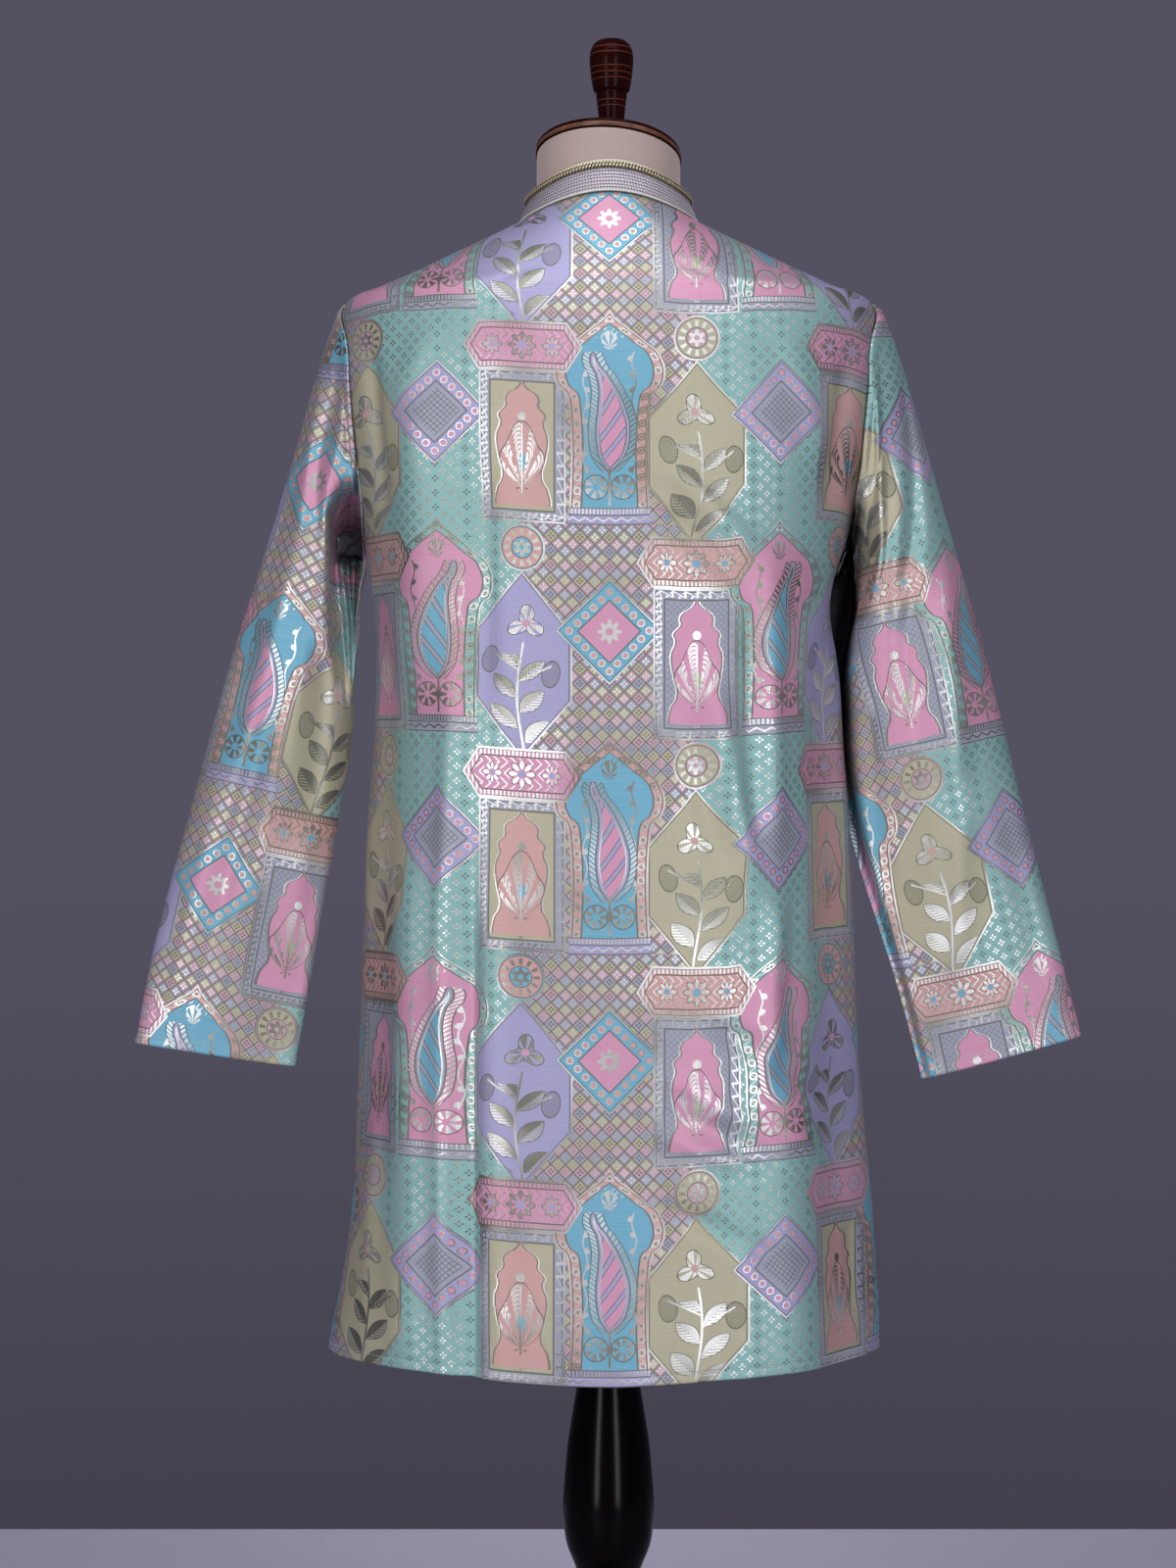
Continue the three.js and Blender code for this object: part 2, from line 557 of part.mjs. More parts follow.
// The place on the front panel's centre line at a height.
function frontPlace(height) {
  let place = TOP_ROW;
  while (bodyPoint(-1, 0, place).z > height) place -= 0.02;
  return place;
}
for (let k = 0; k < BUTTONS; k++) {
  const place = frontPlace(lerp(NECK_FRONT - 45, PLACKET_BOTTOM + 40, k / (BUTTONS - 1)));
  const normal = bodyNormal(-1, 0, place);
  const profile = [
    [0, 0],
    [BUTTON_RADIUS * 0.8, 0],
    [BUTTON_RADIUS, BUTTON_HEIGHT * 0.4],
    [BUTTON_RADIUS * 0.8, BUTTON_HEIGHT],
    [0, BUTTON_HEIGHT * 0.8],
  ].map(([x, y]) => new THREE.Vector2(x, y));
  const round = new THREE.LatheGeometry(profile, 14).deleteAttribute("uv").deleteAttribute("normal");
  const button = mergeVertices(round, 1e-3);
  button.applyQuaternion(
    new THREE.Quaternion().setFromUnitVectors(new THREE.Vector3(0, 1, 0), normal),
  );
  const seat = bodyPoint(-1, 0, place).addScaledVector(normal, 2 * LAY_GAP + TRIM);
  button.translate(seat.x, seat.y, seat.z);
  add("button_" + (k + 1), button, "#d9d4c0", 0.4);
}

// ---- dress form and stand ------------------------------------------------------------------

const FORM_FACES = 32;
const capHeight = (x, y) => CAP.height + CAP.slope * (y - CAP.middle_y) + CAP.lean * x;

// A ring round a vertical axis, flat or on the neck's sloped top.
function turnedRing(radius, z, middle_y = 0, faces = TURNED, middle_x = 0) {
  return Array.from({ length: faces }, (_, j) => {
    const angle = (2 * Math.PI * j) / faces;
    const x = middle_x + radius * Math.sin(angle);
    const y = middle_y + radius * Math.cos(angle);
    return new THREE.Vector3(x, y, typeof z === "function" ? z(x, y) : z);
  });
}

const formRings = FORM.map((row, place) =>
  Array.from({ length: FORM_FACES }, (_, j) =>
    ringPoint(FORM, (2 * Math.PI * j) / FORM_FACES, place, row.square),
  ),
);
formRings.push(turnedRing(CAP.radius, capHeight, CAP.middle_y, FORM_FACES));
add("dress_form", stacked(formRings), "#b49a93", 0.8);

add(
  "neck_cap",
  stacked([
    turnedRing(CAP.rim - 1.5, (x, y) => capHeight(x, y) + GAP, CAP.middle_y, FORM_FACES),
    turnedRing(CAP.rim, (x, y) => capHeight(x, y) + 2, CAP.middle_y, FORM_FACES),
    turnedRing(CAP.rim, (x, y) => capHeight(x, y) + CAP.thick - 2, CAP.middle_y, FORM_FACES),
    turnedRing(CAP.rim - 3, (x, y) => capHeight(x, y) + CAP.thick, CAP.middle_y, FORM_FACES),
  ]),
  "#5a3320",
  0.4,
);

const turned = (rows, middle_x = 0) =>
  rows.map(({ radius, z }) => turnedRing(radius, z, 0, TURNED, middle_x));
const knobTop = (x, y) => capHeight(x, y) + CAP.thick + GAP;
const knobFoot = turnedRing(KNOB[0].radius, knobTop, 0, TURNED, KNOB_X);
add("knob", stacked([knobFoot, ...turned(KNOB, KNOB_X)]), "#2c0d0a", 0.15);
add("column", stacked(turned(COLUMN)), "#140806", 0.12);
add("base", stacked(turned(BASE)), "#140806", 0.15);

export default part;
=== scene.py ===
"""A pastel brocade kurta on a limbless dress form with a turned wooden stand."""

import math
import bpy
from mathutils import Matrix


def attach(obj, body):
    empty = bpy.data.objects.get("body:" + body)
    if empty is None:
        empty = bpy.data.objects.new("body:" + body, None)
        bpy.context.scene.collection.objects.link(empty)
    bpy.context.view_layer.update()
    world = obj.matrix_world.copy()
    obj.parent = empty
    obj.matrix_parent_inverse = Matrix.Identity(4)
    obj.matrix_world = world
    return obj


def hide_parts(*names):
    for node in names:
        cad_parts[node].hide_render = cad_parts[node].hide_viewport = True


bl_info = {
    "name": "Kurta on a dress form",
    "version": (1, 0, 0),
    "blender": (4, 5, 0),
    "location": "3D View > Sidebar > Kurta",
    "description": "Builds a brocade kurta with a stand collar on its dress form",
    "category": "Object",
}

import bmesh
import bpy
import numpy as np
from bpy.props import FloatProperty, FloatVectorProperty, IntProperty, PointerProperty
from mathutils import Vector

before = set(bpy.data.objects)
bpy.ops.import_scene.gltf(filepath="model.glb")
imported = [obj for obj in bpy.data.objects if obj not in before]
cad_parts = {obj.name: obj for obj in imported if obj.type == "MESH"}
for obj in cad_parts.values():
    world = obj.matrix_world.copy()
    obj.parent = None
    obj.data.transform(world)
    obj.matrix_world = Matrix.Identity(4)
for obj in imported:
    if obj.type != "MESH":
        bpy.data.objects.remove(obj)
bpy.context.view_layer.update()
MM = 0.001
BODY = "root"

# ---- the worn shape, in millimetres, as the part has it --------------------------------------

SEAM_GAP = 0.6  # between the edges of two panels at a seam
HEM = 430  # height of the hem above the floor
ARMPIT = 1112
SHOULDER = 1333
SLIT_TOP = 700
SLIT_SPREAD = 0.012  # how fast a side slit opens below its top
CHEST_ARC = 262  # half width of the front panel along the cloth at the chest
PANEL_ACROSS = 590  # the widest a panel is, along the cloth
# A row of the body: its height at the side, the middle of the back and the middle of the front,
# its half width, its depth to the rear and the fore, how square its oval is, and how far the
# armhole cuts into it.
BODY_COLUMNS = ("side", "back", "front", "width", "rear", "fore", "square", "armhole")
BODY_ROWS = np.array([
    (441, HEM, HEM, 232, 128, 130, 2.2, 0),
    (476, 470, 470, 230, 127, 129, 2.2, 0),
    (540, 540, 540, 224, 124, 127, 2.25, 0),
    (620, 620, 620, 218, 121, 125, 2.3, 0),
    (710, 710, 710, 213, 118, 123, 2.3, 0),
    (800, 800, 800, 210, 116, 122, 2.35, 0),
    (880, 880, 880, 207, 114, 121, 2.35, 0),
    (960, 960, 960, 201, 113, 121, 2.35, 0),
    (1040, 1040, 1040, 199, 114, 122, 2.35, 0),
    (ARMPIT, ARMPIT, ARMPIT, 205, 117, 124, 2.3, 0),
    (1150, 1150, 1150, 213, 119, 125, 2.25, 32),
    (1200, 1200, 1200, 225, 120, 124, 2.2, 45),
    (1255, 1255, 1255, 233, 119, 119, 2.15, 47),
    (1300, 1300, 1297, 232, 114, 110, 2.1, 36),
    (SHOULDER, 1335, 1324, 224, 105, 101, 2.1, 0),
    (1344, 1356, 1336, 200, 97, 93, 2.05, 0),
    (1360, 1376, 1347, 164, 88, 85, 2, 0),
    (1379.5, 1396, 1358, 122, 78, 77, 2, 0),
    (1399, 1417, 1370, 77, 66, 69, 2, 0),
])
ARMPIT_ROW = 9
SHOULDER_ROW = 14
TOP_ROW = len(BODY_ROWS) - 1

# The largest folds, which the solids have too: panel, place across as a share of the half panel,
# half width, lowest, highest, rise.
PART_FOLDS = (
    (1, 0.62, 0.1, 380, 900, 7),
    (1, 0.84, 0.09, 560, 1120, -6),
    (1, -0.55, 0.12, 380, 760, 5),
    (1, -0.8, 0.1, 380, 1100, -6),
    (-1, 0.5, 0.12, 380, 940, 6),
    (-1, -0.58, 0.12, 380, 860, 7),
    (-1, 0.82, 0.09, 420, 1100, -6),
    (-1, -0.84, 0.09, 420, 1060, -5),
)

# A row of a sleeve: the place of its outer fold and of its underarm fold, and its depth to the back
# and the front.
SLEEVE_COLUMNS = ("outer_x", "outer_z", "inner_x", "inner_z", "back", "front")
SLEEVE_ROWS = {
    "left": np.array([
        (232, 1326, 208.5, 1101, 44, 44),
        (242, 1298, 209, 1086, 42, 42),
        (254, 1259, 212.5, 1068, 40, 40),
        (268, 1208, 214, 1048, 40, 38),
        (283, 1158, 217, 1024, 40, 37),
        (299, 1105, 219.5, 994, 39, 36),
        (317, 1050, 222, 958, 37, 35),
        (337, 980, 229, 912, 33, 31),
        (358, 902, 238, 856, 27, 26),
        (377, 832, 248, 796, 21, 20),
        (393, 768, 258, 737, 16, 15),
        (405.5, 700, 269, 680, 12, 11),
    ]),
    "right": np.array([
        (234, 1328, 208.5, 1101, 44, 44),
        (245, 1300, 209, 1086, 42, 42),
        (257, 1262, 209.5, 1068, 41, 40),
        (271, 1214, 210, 1048, 42, 38),
        (285, 1164, 210.5, 1022, 42, 37),
        (301, 1109, 211, 990, 40, 36),
        (318, 1050, 212, 952, 38, 35),
        (336, 980, 216, 904, 33, 31),
        (355, 902, 224, 848, 27, 26),
        (373, 832, 237, 788, 21, 20),
        (389, 770, 253, 730, 16, 15),
        (405.5, 706, 269, 669, 12, 11),
    ]),
}

# The collar and the form have the body's columns, without the last ones.
COLLAR_ROWS = np.array([
    (1399.6, 1417.6, 1370.6, 76.5, 66, 69),
    (1411, 1430.5, 1384.5, 71.3, 63.5, 66.5),
    (1423, 1444, 1398, 65.8, 61, 65),
])
COLLAR_SLANT = 27  # height of the collar along its slope
COLLAR_EDGE = 8.8  # depth of plain collar above the embroidered tape
COLLAR_OPENING = 7  # between the collar's ends at the centre front
COLLAR_RADIUS = 66  # at the collar's ends, to turn a length into an angle
COLLAR_END = math.pi - COLLAR_OPENING / 2 / COLLAR_RADIUS
TAPE_TOP = 2 - 2 * COLLAR_EDGE / COLLAR_SLANT  # as all places of the collar, counted in its rows
TAPE_THICK = 0.7
BRAID_RADIUS = 2.7
PLAIT = 2.8  # length of one crossing of the plait
LOOP = 2.5  # length of a chain stitch

FORM_ROWS = np.array([
    (720, 720, 720, 150, 96, 92, 2.3),
    (740, 740, 740, 164, 106, 100, 2.3),
    (800, 800, 800, 170, 107, 103, 2.3),
    (880, 880, 880, 165, 98, 102, 2.3),
    (960, 960, 960, 155, 90, 101, 2.3),
    (1040, 1040, 1040, 158, 96, 106, 2.3),
    (1112, 1112, 1112, 166, 106, 115, 2.3),
    (1180, 1180, 1180, 173, 114, 119, 2.3),
    (1240, 1240, 1240, 181, 115.5, 116, 2.2),
    (1285, 1288, 1284, 196, 111.5, 108.5, 2.1),
    (1316, 1324, 1314, 207, 104.5, 100.5, 2.1),
    (1334, 1342, 1326, 206, 98.4, 94.5, 2.1),
    (1344, 1356, 1335, 194, 93, 89, 2.05),
    (1359, 1376, 1346, 160, 84, 81, 2),
    (1377.2, 1395.6, 1357.4, 118, 73.6, 72.6, 2),
    (1393.2, 1412.6, 1371.4, 76.5, 63.2, 64.2, 2),
    (1408, 1425, 1389, 64.5, 59, 61.5, 2),
    (1432, 1447, 1416, 61.5, 56.5, 61, 2),
])
CAP_HEIGHT = 1457  # where the form's slanting top meets its axis
CAP_SLOPE = 0.255  # rise of the form's top towards the back
CAP_LEAN = 0.05  # and towards the wearer's left
CAP_RADIUS = 61.5
CAP_THICK = 8.3
CAP_MIDDLE_Y = -3
STAND_GAP = 0.35  # between two pieces of the stand

# ---- settings ----------------------------------------------------------------------------------


class KurtaSizes(bpy.types.PropertyGroup):
    """Sizes of the cloth and its trimmings."""

    cloth: FloatProperty(
        name="Cloth", description="Thickness of the lined brocade",
        default=1.6 * MM, unit="LENGTH",
    )
    hem: FloatProperty(
        name="Hem", description="Depth of the turned hem", default=8 * MM, unit="LENGTH",
    )
    grid: FloatProperty(
        name="Grid", description="Length of a face of the cloth", default=5 * MM, unit="LENGTH",
    )
    stitch: FloatProperty(
        name="Stitch", description="Length of a hem stitch", default=3 * MM, unit="LENGTH",
    )
    rows: IntProperty(
        name="Rows", description="Rows of chain stitch round the collar", default=7,
    )


def colour(name, description, value):
    return FloatVectorProperty(
        name=name, description=description, subtype="COLOR", size=3, min=0, max=1, default=value,
    )


class KurtaColours(bpy.types.PropertyGroup):
    """Colours of the brocade and of the stand."""

    turquoise: colour("Turquoise", "Brightest ground of the brocade", (0.105, 0.365, 0.52))
    pink: colour("Pink", "Rose pink ground", (0.58, 0.25, 0.40))
    sage: colour("Sage", "Olive green ground", (0.40, 0.375, 0.25))
    lilac: colour("Lilac", "Lilac ground", (0.32, 0.305, 0.53))
    sea: colour("Sea green", "Sea green ground", (0.20, 0.415, 0.405))
    salmon: colour("Salmon", "Salmon ground", (0.535, 0.295, 0.28))
    mist: colour("Mist", "Grey blue ground", (0.29, 0.31, 0.41))
    rose: colour("Rose", "Dusty rose ground", (0.48, 0.295, 0.37))
    silver: colour("Silver", "Metal thread", (0.77, 0.77, 0.77))
    jersey: colour("Jersey", "Cover of the dress form", (0.415, 0.315, 0.293))
    mahogany: colour("Mahogany", "Turned wood", (0.012, 0.0022, 0.0022))


def sizes():
    return bpy.context.scene.kurta_sizes


def colours():
    return bpy.context.scene.kurta_colours


# ---- shape functions ---------------------------------------------------------------------------


def smooth(t):
    t = np.clip(t, 0, 1)
    return t * t * (3 - 2 * t)


def value_at(rows, column, place):
    """The smooth value of a table's column at places counted in rows."""
    place = np.asarray(place, dtype=float)
    i = np.clip(np.floor(place).astype(int), 0, len(rows) - 2)
    t = place - i
    values = rows[:, column]

    def at(k):
        return values[np.clip(k, 0, len(rows) - 1)]

    start, end = at(i), at(i + 1)
    out, into = (end - at(i - 1)) / 2, (at(i + 2) - start) / 2
    return (
        (2 * t**3 - 3 * t**2 + 1) * start
        + (t**3 - 2 * t**2 + t) * out
        + (3 * t**2 - 2 * t**3) * end
        + (t**3 - t**2) * into
    )


def body_value(name, place):
    return value_at(BODY_ROWS, BODY_COLUMNS.index(name), place)


def read_at(table, place):
    """The values of a table at a place of its first column."""
    return [float(np.interp(place, table[:, 0], values)) for values in table.T[1:]]


def oval_radius(width, depth, square, angle):
    across = np.abs(np.sin(angle)) / width
    along = np.abs(np.cos(angle)) / depth
    return (across**square + along**square) ** (-1 / square)


def bump(value, middle, reach):
    """A smooth hill, 1 at the middle."""
    return np.exp(-(((value - middle) / reach) ** 2))


def window(value, low, high, fade):
    """1 between low and high, with soft ends."""
    return smooth((value - low) / fade + 0.5) * smooth((high - value) / fade + 0.5)


def part_fold(panel, share, height):
    rise = 0
    for side, at, reach, low, high, amount in PART_FOLDS:
        if side == panel:
            half = (high - low) / 2
            fade = smooth((1 - np.abs(height - (low + high) / 2) / half) * 2.5)
            rise = rise + amount * bump(share, at, reach) * fade
    return rise


def body_row(panel, place, shares, extra=None):
    """Points of one row across a panel, and their places along the cloth from its middle."""
    get = {name: float(body_value(name, place)) for name in BODY_COLUMNS}
    depth = get["rear"] if panel > 0 else get["fore"]
    square = get["square"]
    slit = max(0, SLIT_TOP - get["side"]) * SLIT_SPREAD
    edge = max(SEAM_GAP / 2 + slit, get["armhole"])
    edge_x = get["width"] * (1 - (edge / depth) ** square) ** (1 / square)
    end = math.atan2(edge_x, edge)
    steps = np.linspace(0, end, 121)
    r = oval_radius(get["width"], depth, square, steps)
    x, y = r * np.sin(steps), r * np.cos(steps)
    lengths = np.concatenate([[0], np.cumsum(np.hypot(np.diff(x), np.diff(y)))])
    along = np.abs(shares) * lengths[-1]
    angle = np.interp(along, lengths, steps)
    middle = get["back"] if panel > 0 else get["front"]
    height = get["side"] + (middle - get["side"]) * np.cos(angle) ** 2
    r = oval_radius(get["width"], depth, square, angle) + part_fold(panel, shares, height)
    if extra is not None:
        r = r + extra(shares, height, np.sign(shares) * along)
    points = np.stack([np.sign(shares) * r * np.sin(angle), panel * r * np.cos(angle), height], -1)
    return points, np.sign(shares) * along


def ring_points(rows, angles, place, square=2.0):
    get = [float(value_at(rows, k, place)) for k in range(6)]
    side, back, front, width, rear, fore = get
    behind = np.cos(angles) > 0
    r = oval_radius(width, np.where(behind, rear, fore), square, angles)
    height = side + (np.where(behind, back, front) - side) * np.cos(angles) ** 2
    return np.stack([r * np.sin(angles), r * np.cos(angles), height], -1)


def grid_normals(points):
    """Unit normals of a grid of points [row, column, xyz]."""
    across = np.gradient(points, axis=1)
    up = np.gradient(points, axis=0)
    normal = np.cross(across, up)
    return unit(normal, 1e-9)


# ---- making pieces ----------------------------------------------------------------------------


def grid_piece(name, points, uv=None, join=False, fold=None):
    """A sheet of faces on a grid of points in millimetres, with the cloth's own flat map.

    fold is painted shade: how far each point lies out of the light inside a fold, from 0 in the open to 1
    deep in it, darkening the cloth's colour.
    """
    rows, columns = points.shape[:2]
    bm = bmesh.new()
    bmesh.ops.create_grid(bm, x_segments=columns - 1, y_segments=rows - 1, size=1)
    bm.verts.ensure_lookup_table()
    flat = np.array([v.co[:2] for v in bm.verts])
    column = np.rint((flat[:, 0] + 1) / 2 * (columns - 1)).astype(int)
    row = np.rint((flat[:, 1] + 1) / 2 * (rows - 1)).astype(int)
    if uv is not None:
        layer = bm.loops.layers.uv.new("cloth")
        for face in bm.faces:
            for loop in face.loops:
                k = loop.vert.index
                loop[layer].uv = uv[row[k], column[k]]
    deep = bm.verts.layers.float.new("fold") if fold is not None else None
    for v in bm.verts:
        v.co = Vector(points[row[v.index], column[v.index]]) * MM
        if deep:
            v[deep] = fold[row[v.index], column[v.index]]
    if join:
        bmesh.ops.remove_doubles(bm, verts=bm.verts, dist=0.00002)
    return finish_piece(name, bm)


def finish_piece(name, bm):
    for face in bm.faces:
        face.smooth = True
    mesh = bpy.data.meshes.new(name)
    bm.to_mesh(mesh)
    bm.free()
    piece = bpy.data.objects.new(name, mesh)
    bpy.context.scene.collection.objects.link(piece)
    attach(piece, BODY)
    return piece


def stands_for(piece, solid):
    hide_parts(solid)
    return piece


def thicken(piece, thickness, inner_slot=1):
    solidify = piece.modifiers.new("wall", "SOLIDIFY")
    solidify.thickness = thickness
    solidify.offset = -1
    solidify.use_even_offset = False
    solidify.material_offset = inner_slot
    solidify.material_offset_rim = 0


def faces_in(normals, points):
    """Whether the normals of points round the upright axis turn towards it."""
    return float((normals * points * (1, 1, 0)).sum()) < 0


def outward(normals, points):
    return -normals if faces_in(normals, points) else normals


def outward_grid(points, uv=None):
    """A grid round the upright axis, with its columns turned over if its faces looked inward."""
    if faces_in(grid_normals(points), points):
        return points[:, ::-1], None if uv is None else uv[:, ::-1]
    return points, uv


def unit(vectors, least=0.0):
    return vectors / np.maximum(np.linalg.norm(vectors, axis=-1, keepdims=True), least)


def run_of(path):
    """The distance along a path of points."""
    return np.concatenate([[0], np.cumsum(np.linalg.norm(np.diff(path, axis=0), axis=-1))])


# ---- brocade -----------------------------------------------------------------------------------


class Field:
    """A number at each point of a surface, worked out by math nodes."""

    def __init__(self, tree, socket):
        self.tree = tree
        self.socket = socket

    def math(self, operation, *others):
        node = self.tree.nodes.new("ShaderNodeMath")
        node.operation = operation
        for k, value in enumerate((self, *others)):
            if isinstance(value, Field):
                self.tree.links.new(value.socket, node.inputs[k])
            else:
                node.inputs[k].default_value = value
        return Field(self.tree, node.outputs[0])

    def __rsub__(self, other):
        return self * -1 + other

    def pick(self, when_one, mask):
        """This field where the mask is 0, the other where it is 1."""
        if isinstance(when_one, Field):
            return self + (when_one - self) * mask
        return self + (self * -1 + when_one) * mask

    def profile(self, points):
        """A curve through points with both numbers from 0 to 1."""
        node = self.tree.nodes.new("ShaderNodeFloatCurve")
        self.tree.links.new(self.socket, node.inputs["Value"])
        curve = node.mapping.curves[0]
        curve.points[0].location = points[0]
        curve.points[1].location = points[-1]
        for point in points[1:-1]:
            curve.points.new(*point)
        node.mapping.update()
        return Field(self.tree, node.outputs[0])


def math_method(operation):
    return lambda field, *others: field.math(operation, *others)


# near: 1 within reach of a value, and 0 elsewhere; wrap: the remainder, from 0 to a length;
# zigzag: up from 0 to a length and down again
for method, operation in {
    "__add__": "ADD", "__radd__": "ADD", "__sub__": "SUBTRACT", "__mul__": "MULTIPLY",
    "__rmul__": "MULTIPLY", "__truediv__": "DIVIDE", "__lt__": "LESS_THAN",
    "__gt__": "GREATER_THAN", "__abs__": "ABSOLUTE", "near": "COMPARE", "floor": "FLOOR",
    "wrap": "FLOORED_MODULO", "zigzag": "PINGPONG", "sine": "SINE", "cosine": "COSINE",
    "turn": "ARCTAN2", "root": "SQRT", "low": "MINIMUM", "high": "MAXIMUM",
}.items():
    setattr(Field, method, math_method(operation))


def distance(a, b):
    return (a * a + b * b).root()


def plug(tree, node, **inputs):
    """Gives a node's inputs a number, a colour or the output of another node."""
    for name, value in inputs.items():
        socket = node.inputs[name.replace("_", " ")]
        if isinstance(value, Field):
            value = value.socket
        if isinstance(value, bpy.types.NodeSocket):
            tree.links.new(value, socket)
        else:
            socket.default_value = value


def mix(tree, first, second, factor, blend="MIX"):
    """A colour between two colours."""
    node = tree.nodes.new("ShaderNodeMix")
    node.data_type = "RGBA"
    node.blend_type = blend
    for socket, value in ((node.inputs[0], factor), (node.inputs[6], first), (node.inputs[7], second)):
        if isinstance(value, Field):
            value = value.socket
        if isinstance(value, bpy.types.NodeSocket):
            tree.links.new(value, socket)
        elif isinstance(value, (int, float)):
            socket.default_value = value
        else:
            socket.default_value = (*value, 1)
    return node.outputs[2]


def darker(tone, share):
    return tuple(value * share for value in tone)


def new_material(name):
    material = bpy.data.materials.new(name)
    material.use_nodes = True
    tree = material.node_tree
    return material, tree, tree.nodes["Principled BSDF"]


def stepped_ramp(tree, factor, tones):
    """One of several colours, chosen by a number from 0 to 1."""
    node = tree.nodes.new("ShaderNodeValToRGB")
    tree.links.new(factor.socket, node.inputs[0])
    ramp = node.color_ramp
    ramp.interpolation = "CONSTANT"
    for k, tone in enumerate(tones):
        place = k / len(tones)
        stop = ramp.elements[0] if k == 0 else ramp.elements.new(place)
        stop.position = place
        stop.color = (*tone, 1)
    last = ramp.elements[-1]
    if last.position > (len(tones) - 1) / len(tones) + 1e-6:
        ramp.elements.remove(last)
    return node.outputs[0]


# Measures of the pattern on the flat cloth, in millimetres. Heights count from a column's foot.
PITCH = 144  # from a line of arches to the next
REPEAT = 352.0  # height of the repeat
LATTICE = 12  # a cell of the lattice, across and up
SPRAY_LOW, SPRAY_FOOT, SPRAY_HIGH, SPRAY_HALF = 158, 174, 312, 42
BADGE_MIDDLE, BADGE_RADIUS = 331, 19.5
WINDOW_HALF, WINDOW_HEIGHT = 36, 124
BORDER = 9  # width of the scrolls round a window
ARCH_HALF, ARCH_HEIGHT, ARCH_FOOT = 46, 178, 14
ARCH_BORDER = 10
DROP_FOOT, DROP_HEIGHT, DROP_HALF = 44, 98, 14
TILE_MIDDLE, TILE_HALF, TILE_INNER = 265, 44, 25
HEXAGON_MIDDLE, HEXAGON_UP, HEXAGON_HALF = 145, 21, 50


